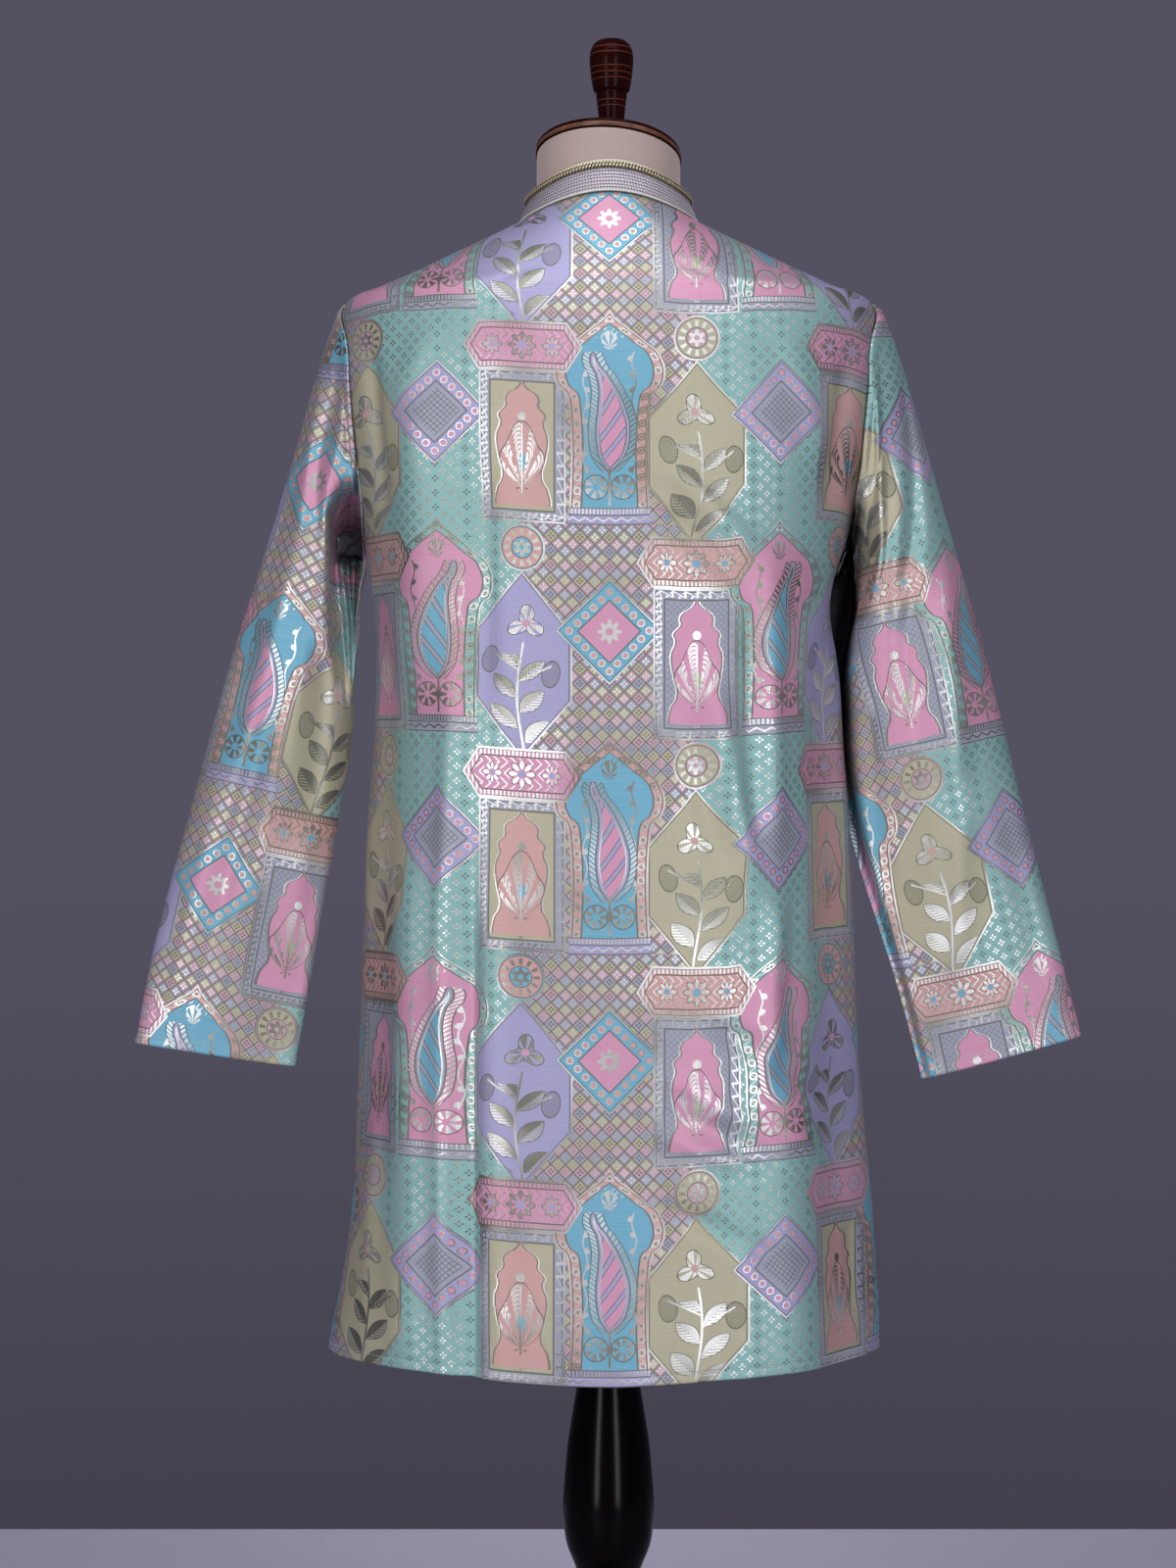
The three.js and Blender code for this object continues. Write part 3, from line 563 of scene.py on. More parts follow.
class Brocade:
    """The patchwork pattern of the cloth, a half drop of arches, windows, sprays and badges."""

    def __init__(self, tree, x, y):
        self.tree = tree
        self.x, self.y = x, y
        # arches stand on lines PITCH apart and windows midway between them; on every other line
        # the pattern is half a repeat lower
        number = (x / PITCH + 0.5).floor()
        self.ax = x - number * PITCH
        self.akey = number.wrap(2)
        self.aup = (y + self.akey * (REPEAT / 2)).wrap(REPEAT)
        place = (x / PITCH).floor()
        self.bx = x - place * PITCH - PITCH / 2
        self.bkey = place.wrap(2)
        self.bup = (y + self.bkey * (REPEAT / 2)).wrap(REPEAT)
        self.shine = None

    def tone(self, first, second, key):
        """A place in the palette that depends on the column."""
        return (key * (second - first) + (first + 0.5)) / 8

    def paint(self):
        """The ground's tone, the accent's mask and tone, the metal thread and the dark outlines."""
        ax, up, key = self.ax, self.aup, self.akey
        self.state = [self.tone(7, 4, key), up * 0, self.tone(2, 0, key), up * 0, up * 0]
        self.diaper(ax, up, key)
        self.spray(self.bx, self.bup, self.bkey)
        self.roundels(self.bx, self.bup, self.bkey)
        self.tiles(ax, up, key)
        self.niche(self.bx, self.bup, self.bkey)
        self.arches(ax, up, key)
        self.drop(ax, up, key)
        self.cartouches(self.bx, self.bup, self.bkey)
        return self.state

    def cover(self, mask, tone):
        """Clears a place for a shape that lies over the others."""
        ground, accent, accent_tone, silver, dark = self.state
        clear = 1 - mask
        self.state = [ground.pick(tone, mask), accent * clear, accent_tone, silver * clear, dark * clear]

    def draw(self, silver=None, dark=None, accent=None, tone=None):
        ground, old_accent, accent_tone, old_silver, old_dark = self.state
        if silver is not None:
            old_silver = old_silver.high(silver)
        if dark is not None:
            old_dark = old_dark.high(dark)
        if accent is not None:
            old_accent = old_accent.high(accent)
            accent_tone = accent_tone.pick(tone, accent)
        self.state = [ground, old_accent, accent_tone, old_silver, old_dark]

    def diaper(self, ax, up, key):
        """A lattice with four-petalled sprigs, its cells in two tones in every other column."""
        a, b = (ax + up) / LATTICE, (ax - up) / LATTICE
        fa, fb = a.wrap(1) - 0.5, b.wrap(1) - 0.5
        kind = (a.floor() + b.floor() * 2).wrap(3)
        cells = (kind < 1.5) * (1 - key)
        lines = (abs(fa).high(abs(fb)) > 0.435) * (1 - key)
        px, py = abs(fa + fb) * 6, abs(fa - fb) * 6
        petal = distance(px.high(py) - 1.85, px.low(py) * 1.25) < 1.02
        bright = (a.floor() + b.floor()).wrap(4) < 2.5
        self.draw(petal * bright, lines.high(petal * (1 - bright)), cells * (1 - lines),
                  self.tone(2, 4, key) + (kind > 0.5) * (1 - key) * 0.5)

    def spray(self, bx, up, key):
        """A six-sided field with a stem, veined leaves, hatched buds and a flower at its tip."""
        edge = (abs(bx) - SPRAY_HALF).high(abs(bx) - (up - SPRAY_LOW) * 0.85)
        edge = edge.high(abs(bx) - (SPRAY_HIGH - up) * 0.85)
        field = edge < 0
        self.cover(field, self.tone(3, 2, key))
        self.draw(edge.near(-0.8, 0.7), edge.near(-2.6, 0.45))
        rise = (up - SPRAY_FOOT) * 1.03
        stem = (rise * 0.042 + key * 2.6).sine() * 4
        off = bx * 0.92 - stem
        knot = (rise + (off < 0) * 13 - 2).wrap(27)
        shrink = 1.2 - rise * 0.0045
        along = abs(off) * 0.7 + (knot - 5) * 0.71
        aside = (knot - 5) * 0.71 - abs(off) * 0.7
        middle = along - 15 * shrink
        leaf = abs(aside) - (shrink * 6.2 - middle * middle * 0.032)
        zone = field * rise.near(34, 37) * (edge < -3.6)
        veins = (along - abs(aside)).wrap(3.4) < 1.1
        inside = (leaf < 0) * zone
        rib = abs(aside) < 0.5
        self.draw(inside * (1 - veins * (aside < 0)), zone * leaf.near(0.1, 0.55).high(rib * (leaf < 0)))
        # the half of each leaf where the painted glint on the metal thread is weaker
        self.shine = inside * (aside > 0)
        lift = rise + (off < 0) * 10
        twig = (lift - 58 - abs(off) * 0.6).near(0, 0.9) * (abs(off) < 25)
        bud = distance((abs(off) - 25) * 1.15, (lift - 66) * 0.72)
        hatch = (bx + up).wrap(2.5) < 1.2
        stalk = off.near(0, 0.9) * rise.near(36, 46)
        tip = rise - 98
        r = distance(off, tip)
        a = off.turn(tip)
        bloom = r - ((a * 3).cosine() * 4.6 + 10.5)
        petals = (bloom < 0) * ((a * 9).sine() > -0.45) * (r > 3.2)
        self.draw(
            field * stalk.high(petals).high(twig),
            field * bloom.near(0.3, 0.6).high((bud < 8) * hatch).high(bud.near(8, 0.5)),
            field * (r < 2.8), self.tone(1, 5, key),
        )

    def roundels(self, bx, up, key):
        """Round badges with a ring of petals, between a spray and the next window."""
        rise = up - BADGE_MIDDLE
        r = distance(bx, rise)
        a = bx.turn(rise)
        self.cover(r < BADGE_RADIUS, self.tone(0, 7, key))
        petals = (a * 12).cosine().near(1, 0.75) * r.near(12.6, 2.6)
        star = r - ((a * 6).cosine() * 1.6 + 6)
        self.draw(
            r.near(18.6, 0.7).high(petals).high((star < 0) * (r > 2.2)),
            r.near(17, 0.4).high(r.near(8.6, 0.45)),
            (r > 8.6) * (r < 17), self.tone(5, 2, key),
        )

    def niche(self, bx, up, key):
        """A lobed window in a frame of scrolls, with a spread of leaves in it."""
        rim = (WINDOW_HALF - abs(bx)).low(up.low(WINDOW_HEIGHT - up))
        place = rim > 0
        scroll = ((up - bx) * 0.6).sine() * 2.1
        band = rim < BORDER
        half = (up / WINDOW_HEIGHT).profile(
            [(0, 0), (0.1, 0.0), (0.105, 0.6), (0.2, 0.56), (0.3, 0.42), (0.42, 0.5), (0.55, 0.55),
             (0.66, 0.46), (0.69, 0.5), (0.77, 0.34), (0.8, 0.36), (0.88, 0.1), (0.92, 0.02), (1, 0)]
        ) * 38
        window_d = abs(bx) - half
        self.cover(place, self.tone(2, 6, key))
        mesh = (((bx + up).wrap(5.2) < 1).high((bx - up).wrap(5.2) < 1)) * key
        self.draw(None, mesh * (rim > 10.5) * 0.55)
        self.cover(band * place, self.tone(6, 6, key))
        curl = (rim - scroll).near(4.5, 0.8)
        curl = curl.high(distance(rim - 4.5 + scroll, (up + bx).wrap(10.5) - 5) < 1.5)
        self.draw(
            place * (curl * band).high(rim.near(0.7, 0.6)),
            place * rim.near(9.2, 0.7).high(rim.near(2.4, 0.4)),
        )
        inside = (window_d < 0) * (rim > BORDER)
        self.cover(inside, self.tone(5, 1, key))
        self.draw(place * (rim > 10) * window_d.near(1.2, 0.6), place * (rim > 10) * window_d.near(0, 0.5))
        fan = up - 22
        r = distance(bx * 1.5, fan - 32)
        a = (bx * 1.5).turn(fan - 6)
        outline = r - ((a * 7).cosine() * 3.4 + 24)
        leaf = ((a * 14).sine() > -0.35) * (abs(bx) > 1) * ((r - (a * 14).sine() * 1.6).wrap(3.6) > 1.3)
        stalk = abs(bx).near(0, 0.8) * fan.near(29, 28)
        bud = distance(bx, fan - 64) < 3.6
        self.draw(inside * ((outline < 0) * leaf).high(stalk).high(bud), inside * outline.near(0.6, 0.6))
        self.draw(None, None, inside * (distance(bx, (fan - 27) * 0.6) < 3.8), self.tone(0, 2, key))

    def arches(self, ax, up, key):
        """Tall arches with a flowered border and a round dome drawn to a point."""
        half = (up / ARCH_HEIGHT).profile(
            [(0, 0.74), (0.56, 0.74), (0.60, 0.78), (0.64, 0.94), (0.7, 1.0), (0.76, 0.95), (0.84, 0.66),
             (0.91, 0.34), (0.96, 0.11), (1, 0.0)]
        ) * ARCH_HALF
        d = (abs(ax) - half).high(up - ARCH_HEIGHT)
        mask = d < 0
        self.cover(mask, self.tone(5, 4, key))
        flower = distance(d + 6, up.wrap(11) - 5.5)
        vine = (d + 6 + (up * 0.571).sine() * 2.6).near(0, 0.45)
        self.draw(
            mask * (d.near(-0.8, 0.7)).high((d < -2.5) * flower.near(2.6, 0.75)).high(
                vine * (d < -2.5) * (d > -9)),
            mask * d.near(-2.4, 0.5).high((flower < 1.2) * (d < -2.5)),
        )
        inner = (d < -ARCH_BORDER) * (up > ARCH_FOOT)
        self.cover(inner, self.tone(0, 1, key))
        curls = distance(ax.wrap(8.5) - 4.25, (up + ax * 0.5).wrap(8.5) - 4.25).near(2.5, 0.6)
        self.draw(curls * (d < -12) * (up > 154), mask * (d.near(-ARCH_BORDER, 0.7)) * (up > ARCH_FOOT))
        foot = mask * (up < ARCH_FOOT)
        self.cover(foot, self.tone(3, 6, key))
        comb = up.near(11, 2.2) * (ax.wrap(3) < 1.5)
        zig = (up - 4.6 + ax.zigzag(5) * 0.6).near(1.4, 0.8)
        self.draw(foot * zig.high(comb), foot * up.near(8, 0.5).high(up.near(13.6, 0.5)).high(up < 1))

    def drop(self, ax, up, key):
        """A drop with a bent tip, striped inside and fringed outside, on curled leaves."""
        inner = (abs(ax) < 23) * up.near(84, 68)
        rise = (up - DROP_FOOT) / DROP_HEIGHT
        bend = rise.profile([(0, 0.5), (0.3, 0.40), (0.6, 0.48), (0.8, 0.72), (0.93, 0.98), (1, 1)])
        width = rise.profile(
            [(0, 0), (0.05, 0.36), (0.2, 0.9), (0.34, 1), (0.5, 0.84), (0.68, 0.54), (0.85, 0.3),
             (0.95, 0.2), (1, 0)]
        )
        lean = ax * (1 - key * 2) - (bend - 0.5) * 27
        off = abs(lean) - width * DROP_HALF
        body = inner * (off < 0) * (rise > 0) * (rise < 1)
        zone = inner * (rise > -0.01) * (rise < 1)
        self.cover(body, self.tone(3, 6, key))
        stripe = (lean + up * 0.75).wrap(15)
        within = off < -3.6
        self.draw(None, None, body * within * (stripe > 5), self.tone(1, 0, key))
        self.draw(
            zone * off.near(-2.9, 0.6),
            (body * within * (stripe.near(0.4, 0.5).high(stripe.near(5, 0.5)))).high(zone * off.near(0, 0.6)),
        )
        fringe = off.near(3.2, 2.4) * ((up - abs(lean) * 0.8).wrap(4.2) < 2.3) * zone
        lx, ly = abs(ax) - 11, up - 31
        r = distance(lx, ly)
        turn = lx.turn(ly) * 7
        curl = (r < 9.5) * (turn.sine() > -0.2) * (r > 3)
        stem = abs(ax).near(0, 1) * up.near(31, 15)
        bough = (abs(ax) - 20 + (up * 0.2).sine() * 1.8)
        vine = bough.near(0, 0.6) * up.near(92, 50)
        buds = (distance(bough + 1.5, up.wrap(13) - 6.5) < 2.4) * up.near(92, 50)
        clear = (off > 6.5).high(rise > 1.02).high(rise < -0.02)
        crown = distance(ax, (up - 152) * 0.8)
        tip = (crown < 6.5) * ((ax.turn(up - 146) * 9).sine() > -0.2)
        self.draw(
            fringe.high(clear * vine.high(buds)).high(curl * inner).high(stem).high(tip),
            (r.near(9.9, 0.5) * inner * (up < DROP_FOOT)).high(zone * off.near(6.2, 0.45)),
        )

    def tiles(self, ax, up, key):
        """Squares on their points, in the field between one arch and the next."""
        by = up - TILE_MIDDLE
        diamond = abs(ax) + abs(by)
        mask = diamond < TILE_HALF
        s, t = ax + by, ax - by
        self.cover(mask, self.tone(0, 3, key))
        self.cover(diamond < TILE_INNER, self.tone(1, 6, key))
        ring = diamond.near(34, 6.6)
        bead = distance(s.wrap(13) - 6.5, t.wrap(13) - 6.5)
        self.draw(
            mask * diamond.near(42.8, 0.7).high(ring * bead.near(3.8, 0.7)),
            mask * diamond.near(40.8, 0.5).high(diamond.near(25.6, 0.8)).high(diamond.near(43.8, 0.5)),
            mask * ring * (bead < 3), self.tone(5, 1, key),
        )
        star = distance(ax, by)
        rays = (ax.turn(by) * 8).cosine() * 2 + 8
        net = ((s.wrap(5) < 0.9).high(t.wrap(5) < 0.9)) * (diamond < 20) * key
        self.draw((star < rays) * (star > 3.2) * (1 - key), net)

    def cartouches(self, bx, up, key):
        """Long hexagons with rosettes, on top of the windows."""
        oy = up - HEXAGON_MIDDLE
        shape = (abs(oy) - HEXAGON_UP).high(abs(bx) + abs(oy) * 0.62 - HEXAGON_HALF)
        mask = shape < 0
        self.cover(mask, self.tone(1, 5, key))
        far = abs(bx) > 12.5
        rx = bx.pick((abs(bx) - 25) * 1.4, far)
        r = distance(rx, oy * (1 + far * 0.35))
        a = rx.turn(oy) * 8
        petals = a.cosine() * 1.7 + 9.2
        ring = (r < petals) * (r > 4) * (a.cosine() > -0.2)
        sprigs = ((bx * 0.9 + oy.zigzag(9)).wrap(6.4) < 1.2) * (r > 11) * (shape < -8)
        self.draw(
            mask * shape.near(-1, 0.9).high((shape < -7.8) * ring.high(sprigs)).high(
                shape.near(-4.4, 1.9) * (bx.wrap(3.4) < 1.6)),
            mask * shape.near(-7, 0.6).high(shape.near(-2.2, 0.4)).high(
                (r - petals).near(0.5, 0.5) * (shape < -7.8)),
            mask * (r < 3.2), self.tone(3, 0, key),
        )


def axes(tree, vector):
    """The three numbers of a place."""
    split = tree.nodes.new("ShaderNodeSeparateXYZ")
    tree.links.new(vector, split.inputs[0])
    return [Field(tree, output) for output in split.outputs]


def cloth_place(tree):
    """The flat place on the cut cloth, across and up in millimetres, and as a vector."""
    uv = tree.nodes.new("ShaderNodeUVMap")
    uv.uv_map = "cloth"
    across, up, _ = axes(tree, uv.outputs[0])
    return across * 1000, up * 1000, uv.outputs[0]


def noise(tree, vector, scale, detail=2.0):
    node = tree.nodes.new("ShaderNodeTexNoise")
    plug(tree, node, Vector=vector, Scale=scale, Detail=detail)
    return Field(tree, node.outputs["Fac"])


def stretched(tree, x, y, across, along):
    """Coordinates for noise that is drawn out along the threads."""
    node = tree.nodes.new("ShaderNodeCombineXYZ")
    plug(tree, node, X=x * across, Y=y * along)
    return node.outputs[0]


def bump_node(tree, height, strength, depth=0.0002):
    node = tree.nodes.new("ShaderNodeBump")
    plug(tree, node, Height=height, Strength=strength, Distance=depth)
    return node.outputs[0]


SLUB_TONE = (0.48, 0.48, 0.49)
OUTLINE_TONE = (0.12, 0.125, 0.095)
# painted shade: the metal thread's colour where it shows no painted glint
UNLIT_METAL = (0.20, 0.20, 0.165)
# painted shade: the near black that the cloth's colour is darkened to inside the underarm folds, where no
# light falls
PAINTED_SHADE_TONE = (0.004, 0.004, 0.005)
HATCH = 2.9  # lines of painted shimmer along the metal thread's weave, as an angle to a millimetre
WEAVE = 5.2  # threads of the satin, likewise


def brocade_material():
    """Satin ground in pastel blocks with lines and leaves of metal thread."""
    material, tree, shader = new_material("silk_brocade")
    x, y, uv = cloth_place(tree)
    tints = colours()
    palette = [tuple(getattr(tints, n)) for n in (
        "turquoise", "pink", "sage", "lilac", "sea", "salmon", "mist", "rose",
    )]
    brocade = Brocade(tree, x, y)
    ground, accent, accent_tone, silver, dark = brocade.paint()
    base = stepped_ramp(tree, ground, palette)
    over = stepped_ramp(tree, accent_tone, palette)
    base = mix(tree, base, over, accent)
    # slubs in the weft, and painted glints: the metal thread's colour is bright in patches and dull
    # elsewhere, standing in for its flashes of reflected light, over the shader's own metallic reflection
    slub = noise(tree, stretched(tree, x, y, 0.035, 0.9), 1.0, 3.0)
    base = mix(tree, base, SLUB_TONE, ((slub - 0.5) * 0.5 + 0.14).high(0))
    base = mix(tree, base, OUTLINE_TONE, dark * 0.85)
    cloud = noise(tree, uv, 11.0, 1.0)
    hatch = ((x + y) * HATCH).sine() * 0.10 + ((x - y) * HATCH).sine() * 0.06
    shine = (cloud - 0.5) * 3.4 + hatch + 0.5 - brocade.shine * 0.34
    shine = shine.high(0).low(1)
    metal = mix(tree, UNLIT_METAL, tuple(tints.silver), shine)
    base = mix(tree, base, metal, silver)
    # painted shade: the fold attribute darkens the cloth's colour towards near black inside the underarm
    # folds
    fold = tree.nodes.new("ShaderNodeAttribute")
    fold.attribute_name = "fold"
    base = mix(tree, base, PAINTED_SHADE_TONE, Field(tree, fold.outputs["Fac"]))
    plug(
        tree, shader, Base_Color=base, Metallic=silver * 0.4 + 0.34, Roughness=0.5 - silver * 0.14,
        Specular_IOR_Level=0.35,
    )
    weave = (x * WEAVE).sine() * 0.5 + (y * WEAVE).sine() * 0.5
    plug(tree, shader, Normal=bump_node(tree, weave, 0.25))
    return material


# ---- creases -------------------------------------------------------------------------------------

# Soft creases of the panels. x counts along the cloth from the centre line towards the wearer's
# left and z is the height: x_top, z_top, x_low, z_low, reach, rise.
BACK_CREASES = (
    (204, 990, 202, 330, 42, -5.0),
    (-204, 1060, -204, 330, 42, -8.0),
    (107, 1190, 106, 980, 14, -3.8),
    (160, 1262, 172, 1000, 24, 6.0),
    (134, 1000, 138, 400, 12, 4.6),
    (117, 850, 118, 380, 8.5, -5.4),
    (86, 880, 88, 380, 18, 3.4),
    (176, 880, 182, 600, 15, 2.6),
    (226, 700, 214, 430, 12, 2.6),
    (211, 1286, 200, 1150, 9, -4.6),
    (-212, 1280, -196, 1150, 12, -4.4),
    (-46, 1184, -116, 1118, 14, 3.2),
    (-38, 1150, -112, 1086, 14, -2.6),
    (-136, 1106, -139, 860, 13, 4.6),
    (-117, 1066, -122, 880, 10, -3.0),
    (-82, 1010, -118, 846, 13, 4.2),
    (-60, 990, -92, 850, 12, -2.2),
    (-143, 822, -130, 680, 12, 5.0),
    (-164, 850, -156, 680, 14, -3.0),
    (-84, 728, -200, 652, 20, -4.6),
    (-52, 682, -116, 640, 15, 3.4),
    (-60, 652, -150, 602, 15, -3.2),
    (-48, 634, -108, 606, 15, 2.8),
    (-54, 576, -166, 516, 17, -2.8),
    (-150, 640, -196, 600, 15, 2.6),
    (-108, 570, -112, 400, 15, 2.8),
    (-66, 640, -72, 400, 17, 1.8),
    (-236, 560, -238, 480, 8, -3.0),
    (34, 1120, 26, 900, 24, 1.8),
    (24, 620, 16, 400, 20, -2.0),
    (-150, 1296, -186, 1190, 13, 2.4),
    (150, 1300, 182, 1236, 13, 2.0),
    (60, 1352, 128, 1322, 9, -1.4),
    (-58, 1354, -132, 1322, 9, -1.4),
)
FRONT_CREASES = (
    (-194, 1120, -196, 330, 48, -10.0),
    (196, 1120, 198, 330, 48, -10.0),
    (-128, 980, -136, 400, 13, 4.4),
    (-110, 800, -114, 400, 7, -5.0),
    (70, 1010, 62, 620, 22, -2.6),
    (110, 1120, 158, 1010, 13, -3.8),
    (96, 1080, 132, 980, 14, 3.0),
    (150, 960, 158, 400, 14, 4.2),
    (104, 860, 120, 400, 11, -3.4),
    (62, 700, 70, 400, 18, 2.6),
    (84, 700, 178, 640, 18, -3.2),
    (60, 660, 128, 618, 15, 2.6),
    (-40, 900, -46, 600, 24, 2.0),
    (-64, 620, -60, 400, 17, -2.4),
    (-206, 1140, -172, 1084, 9, -2.4),
    (204, 1146, 170, 1086, 9, -2.4),
    (-150, 1288, -180, 1180, 14, 2.2),
    (150, 1286, 182, 1176, 13, 2.4),
    (56, 1338, 122, 1306, 9, -1.5),
    (-56, 1338, -124, 1308, 9, -1.5),
)

# Creases of a sleeve, from the outer fold (turn 0) round the back to the underarm fold (turn 1);
# the front has turns below 0. place counts rows of the sleeve's table from the armhole:
# turn_top, place_top, turn_low, place_low, reach as a turn, rise.
SLEEVE_CREASES = {
    "left": (
        (0.16, 1.2, 0.34, 3.8, 0.07, 3.0),
        (0.34, 3.4, 0.37, 7.4, 0.07, 3.4),
        (0.20, 2.6, 0.22, 7.0, 0.08, -3.4),
        (0.46, 0.0, 0.48, 2.6, 0.06, 5.0),
        (0.50, 2.4, 0.60, 4.6, 0.06, 3.4),
        (0.34, 0.2, 0.36, 2.8, 0.06, -4.0),
        (0.64, 4.8, 0.72, 7.6, 0.07, -5.0),
        (0.52, 5.0, 0.56, 8.6, 0.06, 3.4),
        (0.42, 6.6, 0.40, 9.8, 0.05, -3.6),
        (0.28, 8.0, 0.30, 10.4, 0.07, 2.2),
        (0.84, 7.4, 0.80, 10.2, 0.07, -2.6),
        (-0.35, 0.3, -0.42, 4.0, 0.08, -5.0),
        (-0.55, 0.4, -0.60, 4.4, 0.07, 3.8),
        (-0.28, 4.2, -0.60, 6.0, 0.06, -3.2),
        (-0.50, 5.6, -0.46, 9.0, 0.09, -2.4),
    ),
    "right": (
        (0.34, -0.6, 0.50, 1.0, 0.05, 5.0),
        (0.50, 1.0, 0.63, 3.6, 0.05, 5.4),
        (0.12, 1.4, 0.44, 4.4, 0.08, -6.4),
        (0.66, 0.8, 0.78, 3.4, 0.05, -4.0),
        (0.44, 4.4, 0.58, 6.8, 0.07, -4.6),
        (0.24, 4.8, 0.42, 7.6, 0.07, 5.0),
        (0.42, 7.6, 0.62, 9.8, 0.07, 4.2),
        (0.70, 5.6, 0.80, 8.6, 0.07, -4.0),
        (0.10, 3.6, 0.16, 6.8, 0.06, -2.6),
        (0.22, 7.6, 0.26, 10.2, 0.07, -2.4),
        (-0.34, 0.3, -0.40, 4.2, 0.08, -5.0),
        (-0.60, 0.5, -0.64, 4.6, 0.07, 3.8),
        (-0.24, 4.0, -0.62, 6.2, 0.06, -3.2),
        (-0.44, 6.0, -0.50, 9.2, 0.09, -2.2),
    ),
}

# The deep hollow under the left arm: the fold at its edge (place, turn) and how far out its floor
# lies at each height (height, out).
HOLLOW_EDGE = np.array([
    (0.0, 0.60), (1.0, 0.54), (1.6, 0.515), (2.4, 0.485), (2.8, 0.52), (3.3, 0.56), (3.8, 0.60),
    (4.6, 0.66), (5.4, 0.76),
])
HOLLOW_FLOOR = np.array([
    (1000, 24), (1036, 4), (1060, -6), (1100, -10), (1114, -12), (1121, -36), (1136, -37),
    (1144, -20), (1164, 2), (1190, 24), (1214, 38),
])
# place, how far the underarm fold is drawn back, and towards the body on the left and the right
KEEL = np.array([
    (0, 0, -1, -1), (0.8, 4, -4, -1), (2.5, 13, -3, 1.5), (3.5, 14.5, -1, 8.5), (4.4, 15, 0.5, 12.5),
    (6.1, 11, 1, 12.5), (7.3, 7, 0.4, 9), (8.4, 3, 0, 4), (9.4, 0, 0, 0), (11, 0, 0, 0),
])
# place, how far the right sleeve's underarm lies behind its visible edge, and how far it reaches
# from there towards the body
LEDGE = np.array([
    (0, 18, 14), (0.8, 25, 18), (1.6, 29, 20), (2.5, 31, 19), (3.5, 31, 9.5), (4.4, 31, 4.4),
    (5.4, 31, 5), (6.4, 27, 4.5), (7.3, 18, 2.5), (8.2, 8, 1), (8.8, 3, 0), (11, 0, 0),
])
LEDGE_TURN = 0.84  # where the ledge begins
SIDE_PAINTED_SHADE = (1146, 52)  # height and reach of the painted shade in the fold beside the right arm
SIDE_DENT = (1082, 46)  # height and reach of the dent below it
DENT_DEPTH = 12.5
ARMPIT_LIFT = 2.0  # how far the sleeve's seam stands off the panel at the armpit
HOLLOW_ROWS = (-0.5, 5.2, 1.0)  # rows where the left hollow begins and ends, and how softly
CRUMPLE = 2.2  # height of the small crumples on the hollow's floor
SLEEVE_WALL = 3.4  # the least depth of a sleeve's front half, halfway round it
ARMPIT_SINK = 20  # how far the right sleeve sinks in beside the armpit
SLEEVE_TURNS = 133
SLEEVE_PLACES = 132
# The rows that lead from the armhole seam to a sleeve's first row: how far along each lies, how
# far it swells, and the place it counts as.
JOIN_ALONG = (0, 0.2, 0.45, 0.72)
JOIN_SWELL = (0, 1.6, 2.0, 1.0)
JOIN_PLACES = (-0.3, -0.2, -0.12, -0.06)
ARMPIT_TUCK = 11  # how far the right sleeve's join is tucked in by the armpit, to a mm of swell


def crease_rise(creases, across, up):
    """How far creases lift the cloth at places across and up."""
    total = np.zeros(np.broadcast(across, up).shape)
    for x0, z0, x1, z1, reach, rise in creases:
        length = z1 - z0
        t = np.clip((up - z0) / length, 0, 1)
        aside = across - (x0 + (x1 - x0) * t)
        over = (up - z0) / length
        ends = smooth(over * 3.2 + 0.35) * smooth((1 - over) * 3.2 + 0.35)
        total = total + rise * np.exp(-((aside / reach) ** 2)) * ends
    return total


def side_wave(hand, height):
    """How far the side seams swing out, the same for both panels."""
    if hand > 0:
        return 7 * bump(height, 440, 42) - 3 * bump(height, 575, 60)
    return 3.5 * bump(height, 560, 90) - 1.5 * bump(height, 430, 25)


HEM_WAVE = 2.6  # height of the gentle waves towards the hem
HEM_WAVE_RUN = 31.0  # millimetres along the cloth to an angle of 1
NECK_CALM = 1392  # creases fade out towards this height


def panel_extra(panel):
    """A function for how far a panel's soft creases lift it off its plain shape."""
    creases = BACK_CREASES if panel > 0 else FRONT_CREASES

    def extra(shares, height, along):
        inside = smooth((1 - np.abs(shares)) / 0.12)
        top = smooth((NECK_CALM - height) / 40)
        rise = crease_rise(creases, along, height) * inside * top
        hem = smooth((690 - height) / 250)
        rise = rise + HEM_WAVE * hem * np.sin(along / HEM_WAVE_RUN + panel * 0.7) * inside
        low = smooth((720 - height) / 60) * smooth((np.abs(shares) - 0.62) / 0.36)
        # both panels swing out alike at the side seams
        swing = np.where(shares > 0, side_wave(1, height), side_wave(-1, height))
        dent = DENT_DEPTH * bump(height, *SIDE_DENT) * smooth((-shares - 0.72) / 0.26)
        return rise + swing * low - dent

    return extra


# ---- cloth ------------------------------------------------------------------------------------------


def flat_map(points, across):
    """The cloth's own coordinates in metres: along the rows and up the columns."""
    step = np.linalg.norm(np.diff(points, axis=0), axis=-1)
    slip = np.diff(across, axis=0)
    climb = np.sqrt(np.maximum(step**2 - slip**2, 0))
    up = np.concatenate([np.zeros((1, points.shape[1])), np.cumsum(climb, axis=0)])
    return np.stack([across, up], -1) * MM


# Rows of faces up from the hem, for a turned hem 8 mm deep.
HEM_PLACES = np.array([0, 1.0, 2.2, 3.6, 5.0, 6.2, 7.0, 7.6, 8.4, 9.6, 11.6])


